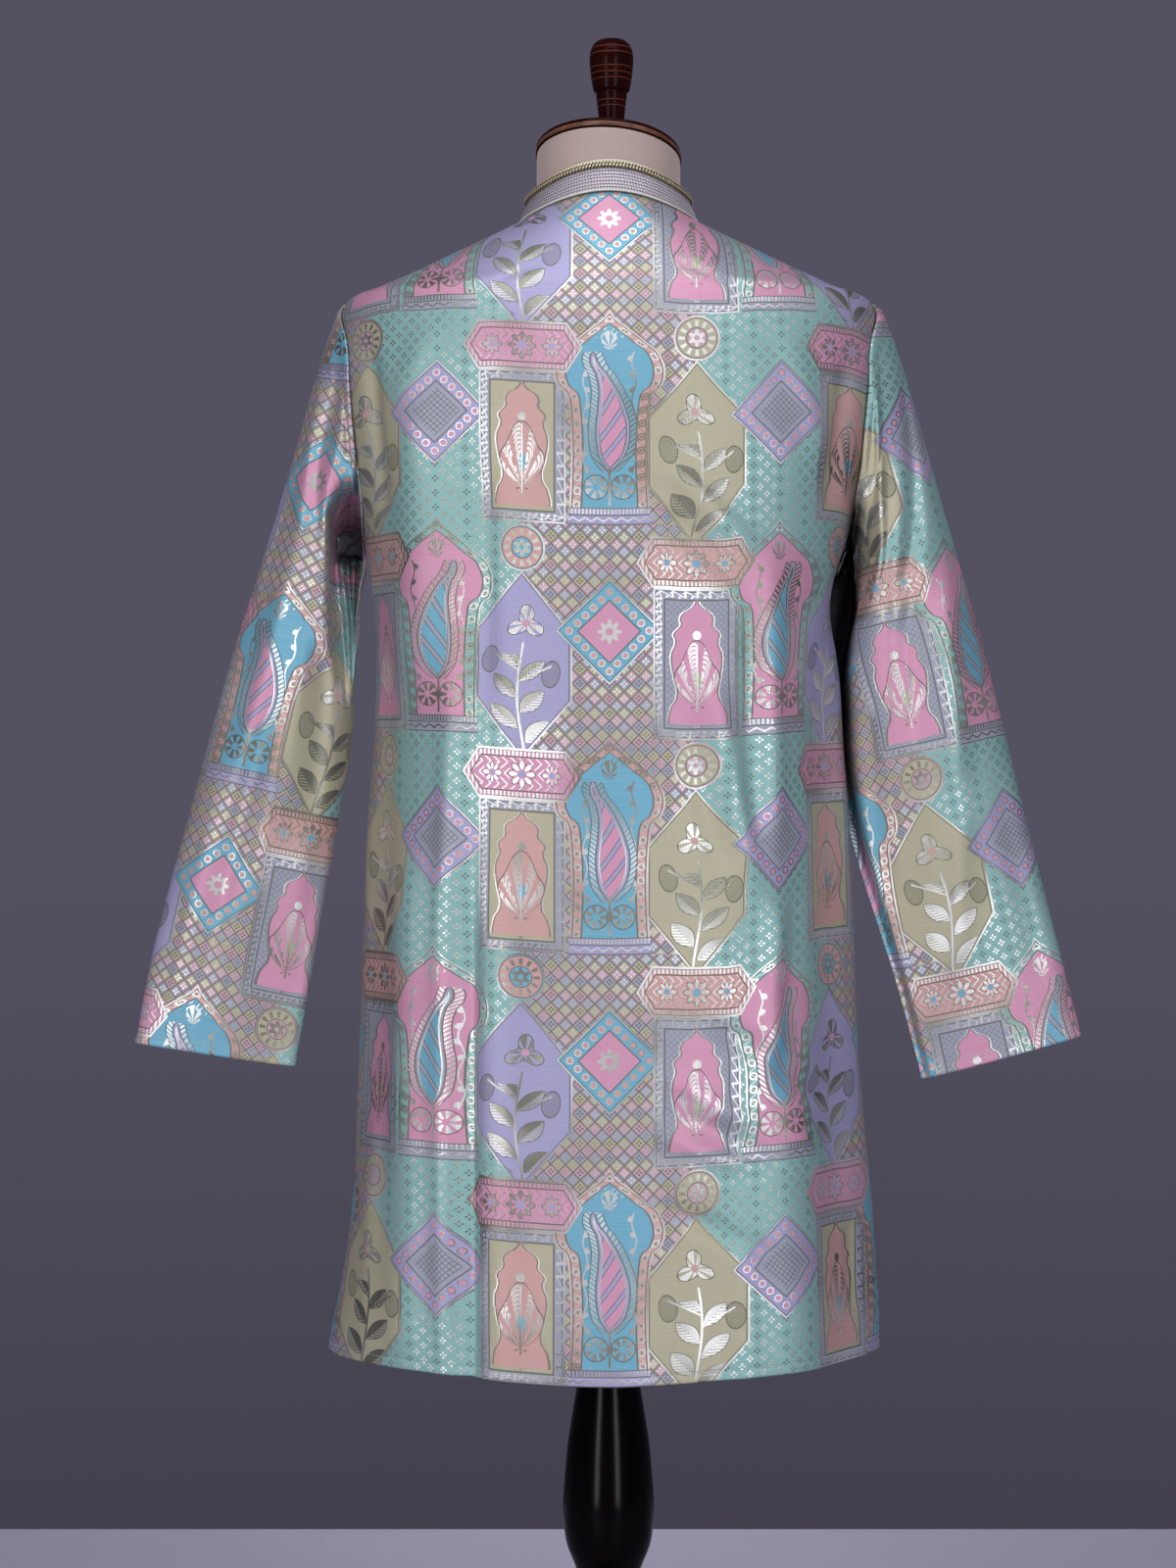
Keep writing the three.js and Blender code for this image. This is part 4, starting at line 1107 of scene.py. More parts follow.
def panel_places(panel):
    """Row places from the hem up, close together in the turned hem."""
    hem = sizes().hem / MM
    fine = np.linspace(0, TOP_ROW, 2400)
    middle = body_value("back" if panel > 0 else "front", fine)
    depth = body_value("rear" if panel > 0 else "fore", fine)
    run = np.concatenate([[0], np.cumsum(np.hypot(np.diff(middle), np.diff(depth)))])
    first = HEM_PLACES / 8 * hem
    count = int((run[-1] - first[-1]) / (sizes().grid / MM))
    rest = np.linspace(first[-1], run[-1], count + 1)[1:]
    return np.interp(np.concatenate([first, rest]), run, fine)


def hem_roll(distance_up, hem):
    """The turned hem stands out a little and its stitch line sinks in."""
    fold = smooth(distance_up / 1.5 + 0.2) * smooth((hem - distance_up) / 1.6)
    return 0.55 * fold - 0.35 * bump(distance_up, hem - 0.5, 0.8)


def panel_points(panel, places, shares):
    extra = panel_extra(panel)
    points, across = zip(*(body_row(panel, place, shares, extra) for place in places))
    return np.array(points), np.array(across)


def make_panel(name, panel, shift):
    places = panel_places(panel)
    columns = int(PANEL_ACROSS * MM / sizes().grid)
    shares = np.linspace(-1, 1, columns + 1)
    points, across = panel_points(panel, places, shares)
    uv = flat_map(points, across)
    hem = sizes().hem / MM
    normals = grid_normals(points) * (-panel)
    points = points + normals * hem_roll(uv[..., 1:] / MM, hem)
    uv = uv + np.array(shift)
    # painted shade: the back panel's colour darkens at its edge beside the right arm, in the shadow of the
    # fold there
    fold = smooth((-shares - 0.9) / 0.1) * bump(points[..., 2], *SIDE_PAINTED_SHADE) * (0.9 if panel > 0 else 0)
    if panel > 0:
        points, uv, fold = points[:, ::-1], uv[:, ::-1], fold[:, ::-1]
    piece = grid_piece(name + "_panel", points, uv, fold=fold)
    thicken(piece, sizes().cloth)
    return stands_for(piece, name)


def armhole_ring(hand, turns):
    """The armhole seam, from the shoulder down the back and up the front, and its normals."""
    points, normals = [], []
    for turn in turns:
        panel = 1 if turn >= 0 else -1
        down = abs(turn)
        place = SHOULDER_ROW + (ARMPIT_ROW - SHOULDER_ROW) * down
        extra = panel_extra(panel)

        def at(share, row):
            return body_row(panel, row, np.array([hand * share]), extra)[0][0]

        edge = at(1, place)
        inner = at(0.97, place)
        off = (edge - inner) / np.linalg.norm(edge - inner)
        up = at(0.97, min(TOP_ROW, place + 0.05)) - at(0.97, place - 0.05)
        normal = np.cross(edge - inner, up)
        normal = normal / np.linalg.norm(normal)
        if np.dot(normal, [edge[0], panel * 60, 0]) < 0:
            normal = -normal
        if down < 0.001 or down > 0.999:
            edge = np.array([edge[0], 0, edge[2]])
            off = np.array([hand, 0, 0])
            normal = np.array([normal[0], 0, normal[2]]) / math.hypot(normal[0], normal[2])
        lift = float(smooth((down - 0.6) / 0.25))
        points.append(edge + off * SEAM_GAP + normal * ARMPIT_LIFT * lift)
        normals.append(normal)
    return np.array(points), np.array(normals)


def sleeve_ring(side, turns, place):
    hand = 1 if side == "left" else -1
    rows = SLEEVE_ROWS[side]
    get = {n: float(value_at(rows, k, place)) for k, n in enumerate(SLEEVE_COLUMNS)}
    back, drawn_left, drawn_right = read_at(KEEL, place)
    drawn = drawn_left if side == "left" else drawn_right
    outer = np.array([hand * get["outer_x"], 0, get["outer_z"]])
    under = np.array([hand * (get["inner_x"] - drawn), 0, get["inner_z"]])
    middle, half = (outer + under) / 2, (outer - under) / 2
    angle = turns * math.pi
    across = np.clip(np.abs(np.sin(angle)), 0, 1)
    points = middle + np.cos(angle)[:, None] * half
    rise = crease_rise(SLEEVE_CREASES[side], turns, place) * across
    rear = across * get["back"] + rise
    if side == "left":
        (edge,) = read_at(HOLLOW_EDGE, place)
        sunk = smooth((turns - edge) / 0.055) * smooth((1 - turns) / 0.07)
        sunk = sunk * window(place, *HOLLOW_ROWS)
        crumple = CRUMPLE * np.sin(turns * 60 + points[:, 2] / 7) * smooth((0.97 - turns) / 0.2)
        rear = rear + sunk * (np.interp(points[:, 2], *HOLLOW_FLOOR.T) + crumple - rear)
    fore = across * get["front"] + rise
    wall = SLEEVE_WALL * across
    low = smooth((np.abs(turns) - 0.45) / 0.55)
    if side == "left":
        rear = np.maximum(rear, wall - across * get["front"] * 0.9)
        points[:, 1] = np.where(turns >= 0, rear, -np.maximum(fore, wall)) - back * low
        return points
    depth, reach = read_at(LEDGE, place)
    beyond = np.clip((np.abs(turns) - LEDGE_TURN) / (1 - LEDGE_TURN), 0, 1)
    fall = smooth(beyond / 0.5)
    spread = smooth((beyond - 0.42) / 0.58)
    rear = rear - ARMPIT_SINK * bump(turns, 0.79, 0.1) * window(place, -1, 1.9, 1.2)
    rear = (rear - back * low) * (1 - fall) - depth * fall
    fore = -np.maximum(fore, wall) - np.maximum(back, depth) * low
    points[:, 1] = np.where(turns >= 0, rear, fore)
    inward = np.where(turns >= 0, spread * reach - fall * (1 - spread) * depth * 0.1, 0)
    lobe = smooth((np.abs(turns) - 0.62) / 0.38) * reach
    points[:, 0] -= hand * np.where(turns >= 0, inward, lobe)
    return points


def sleeve_painted_shade(side, turns, place, heights):
    """Painted shade in the underarm's fold: how far each point of a ring lies out of the light, from 0 to 1.
    """
    if side == "left":
        (edge,) = read_at(HOLLOW_EDGE, place)
        sunk = smooth((turns - edge) / 0.09) * smooth((1 - turns) / 0.05)
        return sunk * window(place, *HOLLOW_ROWS) * (0.16 + 0.4 * bump(heights, 1129, 24))
    inner = smooth((turns - LEDGE_TURN + 0.07) / 0.09)
    tip = smooth((-turns - 0.95) / 0.05)
    seam = smooth((turns - 0.68) / 0.12) * smooth((0.2 - place) / 0.45)
    return np.maximum(np.maximum(inner, tip) * smooth((8.2 - place) / 3), seam)


def make_sleeve(side, shift):
    hand = 1 if side == "left" else -1
    turns = np.linspace(-1, 1, SLEEVE_TURNS)
    seam, _ = armhole_ring(hand, turns)
    last = len(SLEEVE_ROWS[side]) - 1
    places = [*np.linspace(0, last, SLEEVE_PLACES)[:-1], last - 0.06, last - 0.03, last]
    places = np.unique(places)
    rings = [sleeve_ring(side, turns, place) for place in places]
    first = rings[0]
    blend = [seam + (first - seam) * t for t in JOIN_ALONG]
    middle = first.mean(axis=0)
    keep = (1 - smooth((np.abs(turns) - 0.62) / 0.2))[:, None]
    for ring, amount in zip(blend, JOIN_SWELL):
        ring += unit((ring - middle) * (0, 1, 1), 1) * amount * keep
        if side == "right":
            ring[:, 1] -= ARMPIT_TUCK * amount * bump(turns, 0.87, 0.13) * smooth((1 - turns) / 0.06)
    points = np.array(blend + rings)
    axis = rings[-1].mean(axis=0) - seam.mean(axis=0)
    axis = axis / np.linalg.norm(axis)
    down = points @ axis
    step = np.diff(points, axis=1)
    step = step - (step @ axis)[..., None] * axis
    run = np.cumsum(np.linalg.norm(step, axis=-1), axis=1)
    around = np.concatenate([np.zeros((len(points), 1)), run], axis=1)
    across = (around - around[:, [len(turns) // 2]]) * hand * -1
    uv = np.stack([across, -down], -1) * MM + np.array(shift)
    cuff = points[-1] @ axis
    hem = sizes().hem / MM
    from_cuff = np.abs(cuff[None, :] - down)
    normals = grid_normals(points)
    sign = 1 if float((normals * (points - points.mean(axis=(0, 1)))).sum()) > 0 else -1
    # painted shade: how far each point lies out of the light in the underarm's fold, which darkens the
    # cloth's colour
    fold = np.array([
        sleeve_painted_shade(side, turns, place, row[:, 2])
        for place, row in zip((*JOIN_PLACES, *places), points)
    ])
    points = points + normals * sign * hem_roll(from_cuff[..., None], hem)
    if sign < 0:
        points, uv, fold = points[:, ::-1], uv[:, ::-1], fold[:, ::-1]
    piece = grid_piece(side + "_sleeve", points, uv, join=True, fold=fold)
    thicken(piece, sizes().cloth)
    return stands_for(piece, "sleeve_" + side)


def weave_bump(tree, pitch, strength):
    x, y, uv = cloth_place(tree)
    weave = (x * (math.tau / pitch)).sine() + (y * (math.tau / pitch)).sine()
    return bump_node(tree, weave, strength), x, uv


def lining_material():
    """The cloth's wrong side: the same silk, dull and crossed by floats of thread."""
    material, tree, shader = new_material("silk_wrong_side")
    normal, x, uv = weave_bump(tree, 1.1, 0.3)
    floats = (x + noise(tree, uv, 40.0) * 6).wrap(5.5) < 1.6
    cloud = noise(tree, uv, 11.0)
    tone = mix(tree, (0.20, 0.21, 0.20), (0.30, 0.27, 0.30), cloud)
    tone = mix(tree, tone, (0.36, 0.37, 0.34), floats * 0.6)
    plug(tree, shader, Base_Color=tone, Roughness=0.62, Sheen_Weight=0.15, Normal=normal)
    return material


# ---- collar -----------------------------------------------------------------------------------------


def collar_grid(low, high, rows, columns, off=0.0):
    """Points of a band round the collar, from the right front end round the back."""
    angles = np.linspace(-COLLAR_END, COLLAR_END, columns)
    places = np.linspace(low, high, rows)
    points = np.array([ring_points(COLLAR_ROWS, angles, place) for place in places])
    normals = outward(grid_normals(points), points)
    return points + normals * off, normals


def run_along(points):
    step = np.linalg.norm(np.diff(points, axis=1), axis=-1)
    along = np.concatenate([np.zeros((len(points), 1)), np.cumsum(step, axis=1)], axis=1)
    return along[len(points) // 2] - along[len(points) // 2].mean()


def make_collar():
    rows, columns = 15, 220
    points, _ = collar_grid(0, 2, rows, columns)
    along = run_along(points)
    up = np.linspace(0, COLLAR_SLANT, rows)
    uv = np.stack(np.broadcast_arrays(along[None, :], up[:, None] + 60), -1) * MM
    points, uv = outward_grid(points, uv)
    piece = grid_piece("stand_collar", points, uv)
    thicken(piece, sizes().cloth)
    bevel = piece.modifiers.new("soft_edge", "BEVEL")
    bevel.width = 0.6 * MM
    bevel.segments = 2
    bevel.limit_method = "ANGLE"
    return stands_for(piece, "collar")


STITCH_RELIEF = 0.95  # how far a row of chain stitch stands off the tape


def make_collar_trim():
    """Rows of chain stitch that cover the band, as raised loops."""
    count = sizes().rows
    rows, columns = count * 7 + 1, 740
    points, normals = collar_grid(0.1, TAPE_TOP + 0.13, rows, columns, 1.0)
    along = run_along(points)[None, :]
    cross = np.linspace(0, count, rows)[:, None]
    inside = cross - np.floor(np.minimum(cross, count - 1e-6))
    side = np.abs(inside - 0.5) * 2
    number = np.floor(np.minimum(cross, count - 1e-6))
    lean = np.where(number % 2 == 0, 1, -1)
    roll = np.sqrt(np.clip(1 - side**2 * 0.96, 0, 1))
    loop = 0.5 + 0.5 * np.cos(math.tau * (along / LOOP + side * 0.5 * lean + number * 0.37))
    height = STITCH_RELIEF * roll * (0.6 + 0.4 * loop) - 0.2
    points = points + normals * height[..., None]
    uv = np.stack(np.broadcast_arrays(along, cross), -1) * MM
    points, uv = outward_grid(points, uv)
    piece = grid_piece("chain_stitch_tape", points, uv)
    thicken(piece, TAPE_THICK * MM, 0)
    return stands_for(piece, "collar_trim")


def swept_tube(name, path, side, up, radius, around):
    """A tube on a path. Its radius is a number, or a function of place along and angle."""
    angles = np.linspace(0, math.tau, around + 1)
    along = run_of(path)
    r = radius(along[:, None], angles[None, :]) if callable(radius) else radius + 0 * angles[None, :]
    points = (
        path[:, None]
        + side[:, None] * (r * np.cos(angles))[..., None]
        + up[:, None] * (r * np.sin(angles))[..., None]
    )
    uv = np.stack(np.broadcast_arrays(along[:, None], angles[None, :]), -1) * MM
    if float((grid_normals(points) * (points - path[:, None])).sum()) < 0:
        points, uv = points[:, ::-1], uv[:, ::-1]
    piece = grid_piece(name, points, uv, join=True)
    close_ends(piece)
    return piece


def close_ends(piece):
    """Fills the open ends of a tube."""
    bm = bmesh.new()
    bm.from_mesh(piece.data)
    bmesh.ops.holes_fill(bm, edges=[e for e in bm.edges if e.is_boundary], sides=0)
    bm.to_mesh(piece.data)
    bm.free()


def collar_cord(name, low, high, columns, off, radius, around):
    """A cord between two places of the collar, with its middle off the collar's face."""
    points, normals = collar_grid(low, high, 3, columns)
    side = normals[1]
    return swept_tube(name, points[1] + side * off, side, unit(points[2] - points[0]), radius, around)


def plait_radius(along, angle):
    row = angle * 4 / math.tau
    part = row - np.floor(row)
    strand = np.abs(np.cos(math.pi * (along / PLAIT + np.floor(row) * 0.5 + part * 0.5)))
    return BRAID_RADIUS * (0.66 + 0.4 * np.sin(math.pi * part) ** 0.8 * strand**0.7)


def make_braid():
    """A plait of gold thread along the top of the tape."""
    place = TAPE_TOP + 2 * (BRAID_RADIUS + 1.1) / COLLAR_SLANT
    piece = collar_cord(
        "gold_cord", place - 0.02, place + 0.02, 900, BRAID_RADIUS + 0.2, plait_radius, 24,
    )
    return stands_for(piece, "collar_braid")


def make_pipings():
    """Pale cords of silk at the foot of the tape and on the collar's top edge."""
    made = [
        collar_cord("collar_piping", 0.03, 0.13, 300, 1.0, 0.85, 10),
        collar_cord("edge_piping", 1.9, 1.98, 300, 1.3, 1.25, 12),
    ]
    return made


def thread_material(name, light, dark, pitch, metallic, roughness, lean):
    """Embroidery thread: bright loops with dark gaps between them."""
    material, tree, shader = new_material(name)
    x, y, uv = cloth_place(tree)
    side = abs(y.wrap(1) - 0.5) * 2
    hand = 1 - y.floor().wrap(2) * 2
    loop = (x / pitch + side * hand * lean + y.floor() * 0.37).wrap(1)
    gap = ((loop > 0.68) * 0.8).high(side > 0.74)
    strands = ((x * 0.7 + y * 5.5 * hand).wrap(0.5) < 0.16) * 0.25
    tone = mix(tree, light, dark, gap.high(strands))
    plug(
        tree, shader, Base_Color=mix(tree, tone, dark, noise(tree, uv, 55.0) * 0.16),
        Metallic=metallic, Roughness=gap * 0.2 + roughness,
        Normal=bump_node(tree, 1 - strands, 0.3),
    )
    return material


def braid_material():
    material, tree, shader = new_material("gold_braid")
    x, y, _ = cloth_place(tree)
    row = y * (4 / math.tau)
    part = row.wrap(1)
    strand = (x / PLAIT + row.floor() * 0.5 + part * 0.5 + 0.5).wrap(1)
    groove = (abs(strand - 0.5) > 0.28).high(abs(part - 0.5) > 0.36)
    ply = ((strand * 4 + part * 1.5).wrap(1) < 0.3) * 0.35
    tone = mix(tree, (0.84, 0.74, 0.50), (0.035, 0.026, 0.014), (groove * 0.95).high(ply))
    plug(
        tree, shader, Base_Color=tone, Metallic=0.6, Roughness=0.4,
        Normal=bump_node(tree, 1 - ply, 0.3),
    )
    return material


def silk_material(name, tone):
    material, tree, shader = new_material(name)
    normal, _, uv = weave_bump(tree, 0.9, 0.3)
    tone = mix(tree, tone, darker(tone, 0.8), noise(tree, uv, 30.0))
    plug(tree, shader, Base_Color=tone, Roughness=0.45, Sheen_Weight=0.2, Normal=normal)
    return material


# ---- placket, buttons and stitches ---------------------------------------------------------------

PLACKET_HALF = 17
PLACKET_ROW = 8  # the body's row at the placket's foot
PLACKET_THICK = 1.2
PLACKET_OFF = 1.6  # how far its face lies off the panel, between its two stitch lines
BUTTON_HEIGHTS = (1325, 1243.333, 1161.667, 1080)
BUTTON_PROFILE = [
    (0, 0), (4.6, 0), (5.7, 0.7), (6.0, 1.5), (5.7, 2.3), (5.0, 2.7), (4.3, 2.3), (3.6, 1.9), (0, 1.8),
]
HOLE_OUT = 1.5  # from a button's middle to each of its holes


def front_strip(off, shares, places):
    points, across = panel_points(-1, places, shares)
    normals = outward(grid_normals(points), points)
    return points + normals * off[..., None], normals, across


def make_placket():
    """A plain strip down the front with both long edges stitched."""
    rows, columns = 110, 29
    half = PLACKET_HALF / CHEST_ARC
    shares = np.linspace(-half, half, columns)
    places = np.linspace(PLACKET_ROW + 0.02, TOP_ROW, rows)
    cross = np.linspace(-1, 1, columns)[None, :] * np.ones((rows, 1))
    off = PLACKET_OFF - 0.3 * bump(np.abs(cross), 0.84, 0.03)
    points, normals, across = front_strip(off, shares, places)
    uv = flat_map(points, across) + np.array((0.0, 0.62))
    points, uv = outward_grid(points, uv)
    piece = grid_piece("placket_strip", points, uv)
    thicken(piece, PLACKET_THICK * MM)
    return stands_for(piece, "placket")


def lathe(profile, steps, merge):
    """A mesh turned on the upright axis from a profile of radius and height."""
    bm = bmesh.new()
    verts = [bm.verts.new((r * MM, 0, z * MM)) for r, z in profile]
    edges = [bm.edges.new(pair) for pair in zip(verts, verts[1:])]
    bmesh.ops.spin(
        bm, geom=verts + edges, axis=(0, 0, 1), cent=(0, 0, 0), steps=steps,
        angle=math.tau, use_merge=True,
    )
    bmesh.ops.remove_doubles(bm, verts=bm.verts, dist=merge)
    bmesh.ops.recalc_face_normals(bm, faces=bm.faces)
    return bm


BUTTON_SEAT = 2.0  # how far a button's back lies off the front panel


def make_buttons():
    """Round buttons with a rim and four holes."""
    made = []
    fine = np.linspace(PLACKET_ROW, TOP_ROW, 1500)
    middle = body_value("front", fine)
    for k, height in enumerate(BUTTON_HEIGHTS):
        place = float(np.interp(height, middle, fine))
        points, normals, _ = front_strip(
            np.full((3, 3), BUTTON_SEAT), np.array([-0.004, 0, 0.004]),
            np.array([place - 0.02, place, place + 0.02]),
        )
        bm = lathe(BUTTON_PROFILE, 40, 1e-6)
        for j in range(4):
            turn = math.pi / 4 + j * math.pi / 2
            hole = bmesh.ops.create_cone(
                bm, cap_ends=True, segments=14, radius1=0.75 * MM, radius2=0.55 * MM, depth=0.3 * MM,
            )
            bmesh.ops.translate(
                bm, verts=hole["verts"],
                vec=(HOLE_OUT * MM * math.cos(turn), HOLE_OUT * MM * math.sin(turn), 1.85 * MM),
            )
        turn = Vector((0, 0, 1)).rotation_difference(Vector(normals[1, 1])).to_matrix()
        bmesh.ops.rotate(bm, verts=bm.verts, cent=(0, 0, 0), matrix=turn)
        bmesh.ops.translate(bm, verts=bm.verts, vec=Vector(points[1, 1]) * MM)
        name = "button_%d" % (k + 1)
        made.append(stands_for(finish_piece("shell_" + name, bm), name))
    return made


def stitch_run(bm, path, normals, length, spacing, radius):
    """Short stitches of thread laid end to end on a path, half sunk in the cloth."""
    along = run_of(path)
    for start in np.arange(spacing, along[-1] - spacing, spacing):
        at = [Vector([np.interp(start + s, along, path[:, k]) for k in range(3)]) for s in (0, length)]
        out = Vector([np.interp(start + length / 2, along, normals[:, k]) for k in range(3)]).normalized()
        middle = (at[0] + at[1]) / 2 + out * 0.12
        lean = Vector((0, 0, 1)).rotation_difference(at[1] - at[0]).to_matrix()
        made = bmesh.ops.create_uvsphere(bm, u_segments=6, v_segments=4, radius=1)["verts"]
        bmesh.ops.scale(bm, verts=made, vec=(radius * MM, radius * MM, length / 2 * MM))
        bmesh.ops.rotate(bm, verts=made, cent=(0, 0, 0), matrix=lean)
        bmesh.ops.translate(bm, verts=made, vec=middle * MM)


STITCH_GAP = 1.1
THREAD_RADIUS = 0.28


def stitch_piece(name, runs):
    bm = bmesh.new()
    length = sizes().stitch / MM
    for path, normals in runs:
        stitch_run(bm, path, normals, length, length + STITCH_GAP, THREAD_RADIUS)
    piece = finish_piece(name, bm)
    return piece


def panel_line(panel, rise):
    """A line across a panel at a distance above its hem, with the outward normals."""
    hem = sizes().hem / MM
    places = panel_places(panel)
    shares = np.linspace(-0.985, 0.985, 240)
    points, across = panel_points(panel, places[:14], shares)
    up = flat_map(points, across)[..., 1] / MM
    normals = outward(grid_normals(points) * (-panel), points)
    points = points + normals * hem_roll(up[..., None], hem)
    line = np.array([
        [np.interp(rise, up[:, j], points[:, j, k]) for k in range(3)]
        for j in range(points.shape[1])
    ])
    return line, normals[6]


def cuff_line(side, rise):
    turns = np.linspace(-0.99, 0.99, 160)
    last = len(SLEEVE_ROWS[side]) - 1
    low = sleeve_ring(side, turns, last)
    high = sleeve_ring(side, turns, last - 0.25)
    t = rise / np.linalg.norm(high - low, axis=1, keepdims=True)
    line = low + (high - low) * t
    out = unit((line - line.mean(axis=0)) * (0.15, 1, 0), 1e-6)
    return line + out * 0.2, out


# ---- dress form and stand -----------------------------------------------------------------------

ROUND = np.linspace(0, math.tau, 97)  # angles of the form's columns, from the back round the left


def cap_height(x, y):
    return CAP_HEIGHT + CAP_SLOPE * (y - CAP_MIDDLE_Y) + CAP_LEAN * x


def tilted_ring(radius, lift, angles):
    x = radius * np.sin(angles)
    y = CAP_MIDDLE_Y + radius * np.cos(angles)
    return np.stack([x, y, cap_height(x, y) + lift], -1)


def tube_piece(name, rings):
    points, _ = outward_grid(np.array(rings))
    piece = grid_piece(name, points, join=True)
    close_ends(piece)
    return piece


def make_form():
    rings = []
    for place in np.linspace(0, len(FORM_ROWS) - 1, 120):
        square = float(value_at(FORM_ROWS, 6, place))
        rings.append(ring_points(FORM_ROWS, ROUND, place, square))
    top = tilted_ring(CAP_RADIUS, 0, ROUND)
    last = rings[-1]
    rings += [last + (top - last) * t for t in (0.25, 0.5, 0.75, 0.94)]
    rings.append(tilted_ring(CAP_RADIUS - 0.1, -0.5, ROUND))
    rings.append(tilted_ring(CAP_RADIUS - 0.8, 0, ROUND))
    piece = tube_piece("body_form", rings)
    return stands_for(piece, "dress_form")


def make_cap():
    profile = [
        (60.4, 0.35), (61.6, 0.5), (62.3, 1.2), (62.5, 2.6), (62.4, 4.6), (61.9, 5.0),
        (62.2, 5.5), (62.0, 7.0), (61.1, 7.9), (59.4, 8.3), (40, 8.3), (20, 8.3), (12.5, 8.3),
    ]
    piece = tube_piece("neck_top", [tilted_ring(r, lift, ROUND) for r, lift in profile])
    for face in piece.data.polygons:
        x, y, z = face.center / MM
        lift = z - float(cap_height(x, y))
        face.material_index = int(lift > 5.2 or lift < 0.9)
    return stands_for(piece, "neck_cap")


def turned_piece(name, profile, replaced, steps=96):
    return stands_for(finish_piece(name, lathe(profile, steps, 2e-6)), replaced)


def rounded(profile, per_step):
    """A smooth profile through a few points, as a lathe leaves it."""
    rows = np.array(profile, dtype=float)
    places = np.linspace(0, len(rows) - 1, (len(rows) - 1) * per_step + 1)
    return [(max(0.0, float(value_at(rows, 0, p))), float(value_at(rows, 1, p))) for p in places]


def with_grooves(profile, grooves, depth, reach):
    """Fine cuts round a turned piece at given heights."""
    beside = (-1.6, -0.8, -0.4, 0, 0.4, 0.8, 1.6)
    heights = {z for _, z in profile} | {g + d * reach for g in grooves for d in beside}
    r, z = np.array(profile).T
    order = np.argsort(z, kind="stable")
    made = []
    for height in sorted(heights):
        if height < z.min() or height > z.max():
            continue
        cut = sum(depth * math.exp(-(((height - g) / reach * 1.6) ** 2)) for g in grooves)
        made.append((float(np.interp(height, z[order], r[order])) - cut, height))
    return made


KNOB_PROFILE = [
    (10.6, 1483), (11.1, 1493), (12.1, 1502), (13.0, 1510), (13.4, 1514.6), (15.4, 1516.2),
    (17.4, 1526), (18.6, 1537), (18.8, 1545), (17.2, 1552.5), (13, 1557.7), (7, 1560), (0, 1560.4),
]
KNOB_GROOVES = (1502.2, 1507, 1524.7, 1529.8, 1534.8, 1546.5, 1551.6)
KNOB_X = -2.5
LINE_HALF = 0.46  # half the height of a line of bare wood
COLUMN_PROFILE = [
    (0, 30.35), (44, 30.35), (43, 37), (40, 44), (33, 50), (27, 58), (22, 84), (22.4, 108), (24, 128),
    (28, 139), (33, 150), (35, 160), (32, 170), (26, 178), (23, 186), (21, 206), (22, 226),
    (28, 251), (35.4, 270), (38.4, 288), (39, 306), (37.8, 326), (34.6, 360), (27.5, 405),
    (24, 432), (19, 500), (17, 600), (17, 719.6), (0, 719.65),
]
BASE_PROFILE = [
    (0, 0), (184, 0), (187.5, 0.8), (189.4, 3), (190, 7), (189.4, 11), (187, 14.5), (184, 17),
    (178, 18.4), (172, 18.8), (168, 20.2), (164, 21), (120, 23.2), (80, 26), (62, 28.4), (56, 30),
    (0, 30),
]


def make_knob():
    smooth_profile = rounded(KNOB_PROFILE, 6)
    profile = with_grooves(smooth_profile[:-6], KNOB_GROOVES, 0.55, 0.8) + smooth_profile[-5:]
    angles = np.linspace(0, math.tau, 65)
    radius, top = KNOB_PROFILE[0]
    x, y = KNOB_X + radius * np.sin(angles), radius * np.cos(angles)
    lift = cap_height(x, y) + CAP_THICK + STAND_GAP
    rings = [np.stack([x, y, lift + (top - lift) * t], -1) for t in (0, 0.35, 0.7)]
    for radius, z in profile:
        if radius > 0.05:
            x = KNOB_X + radius * np.sin(angles)
            rings.append(np.stack([x, radius * np.cos(angles), 0 * angles + z], -1))
    piece = tube_piece("turned_knob", rings)
    return stands_for(piece, "knob")


def make_column():
    profile = [COLUMN_PROFILE[0]] + rounded(COLUMN_PROFILE[1:-1], 5) + [COLUMN_PROFILE[-1]]
    return turned_piece("turned_column", profile, "column")


def make_base():
    return turned_piece("round_base", BASE_PROFILE, "base", 128)


def object_place(tree, scale=(1, 1, 1)):
    coordinates = tree.nodes.new("ShaderNodeTexCoord")
    mapping = tree.nodes.new("ShaderNodeMapping")
    plug(tree, mapping, Vector=coordinates.outputs["Object"], Scale=scale)
    return mapping.outputs[0]


def jersey_material():
    """Fine knit stretched smooth over the form."""
    material, tree, shader = new_material("jersey")
    place = object_place(tree)
    x, y, z = (axis * 1000 for axis in axes(tree, place))
    around = x.turn(y) * 62
    ribs = (around * (math.tau / 1.3)).sine() * 0.6 + (z * (math.tau / 1.0)).sine() * 0.4
    cloud = noise(tree, place, 26.0, 4.0)
    tone = tuple(colours().jersey)
    plug(
        tree, shader, Base_Color=mix(tree, tone, darker(tone, 0.86), cloud), Roughness=0.72,
        Sheen_Weight=0.25, Normal=bump_node(tree, ribs, 0.22, 0.00025),
    )
    return material


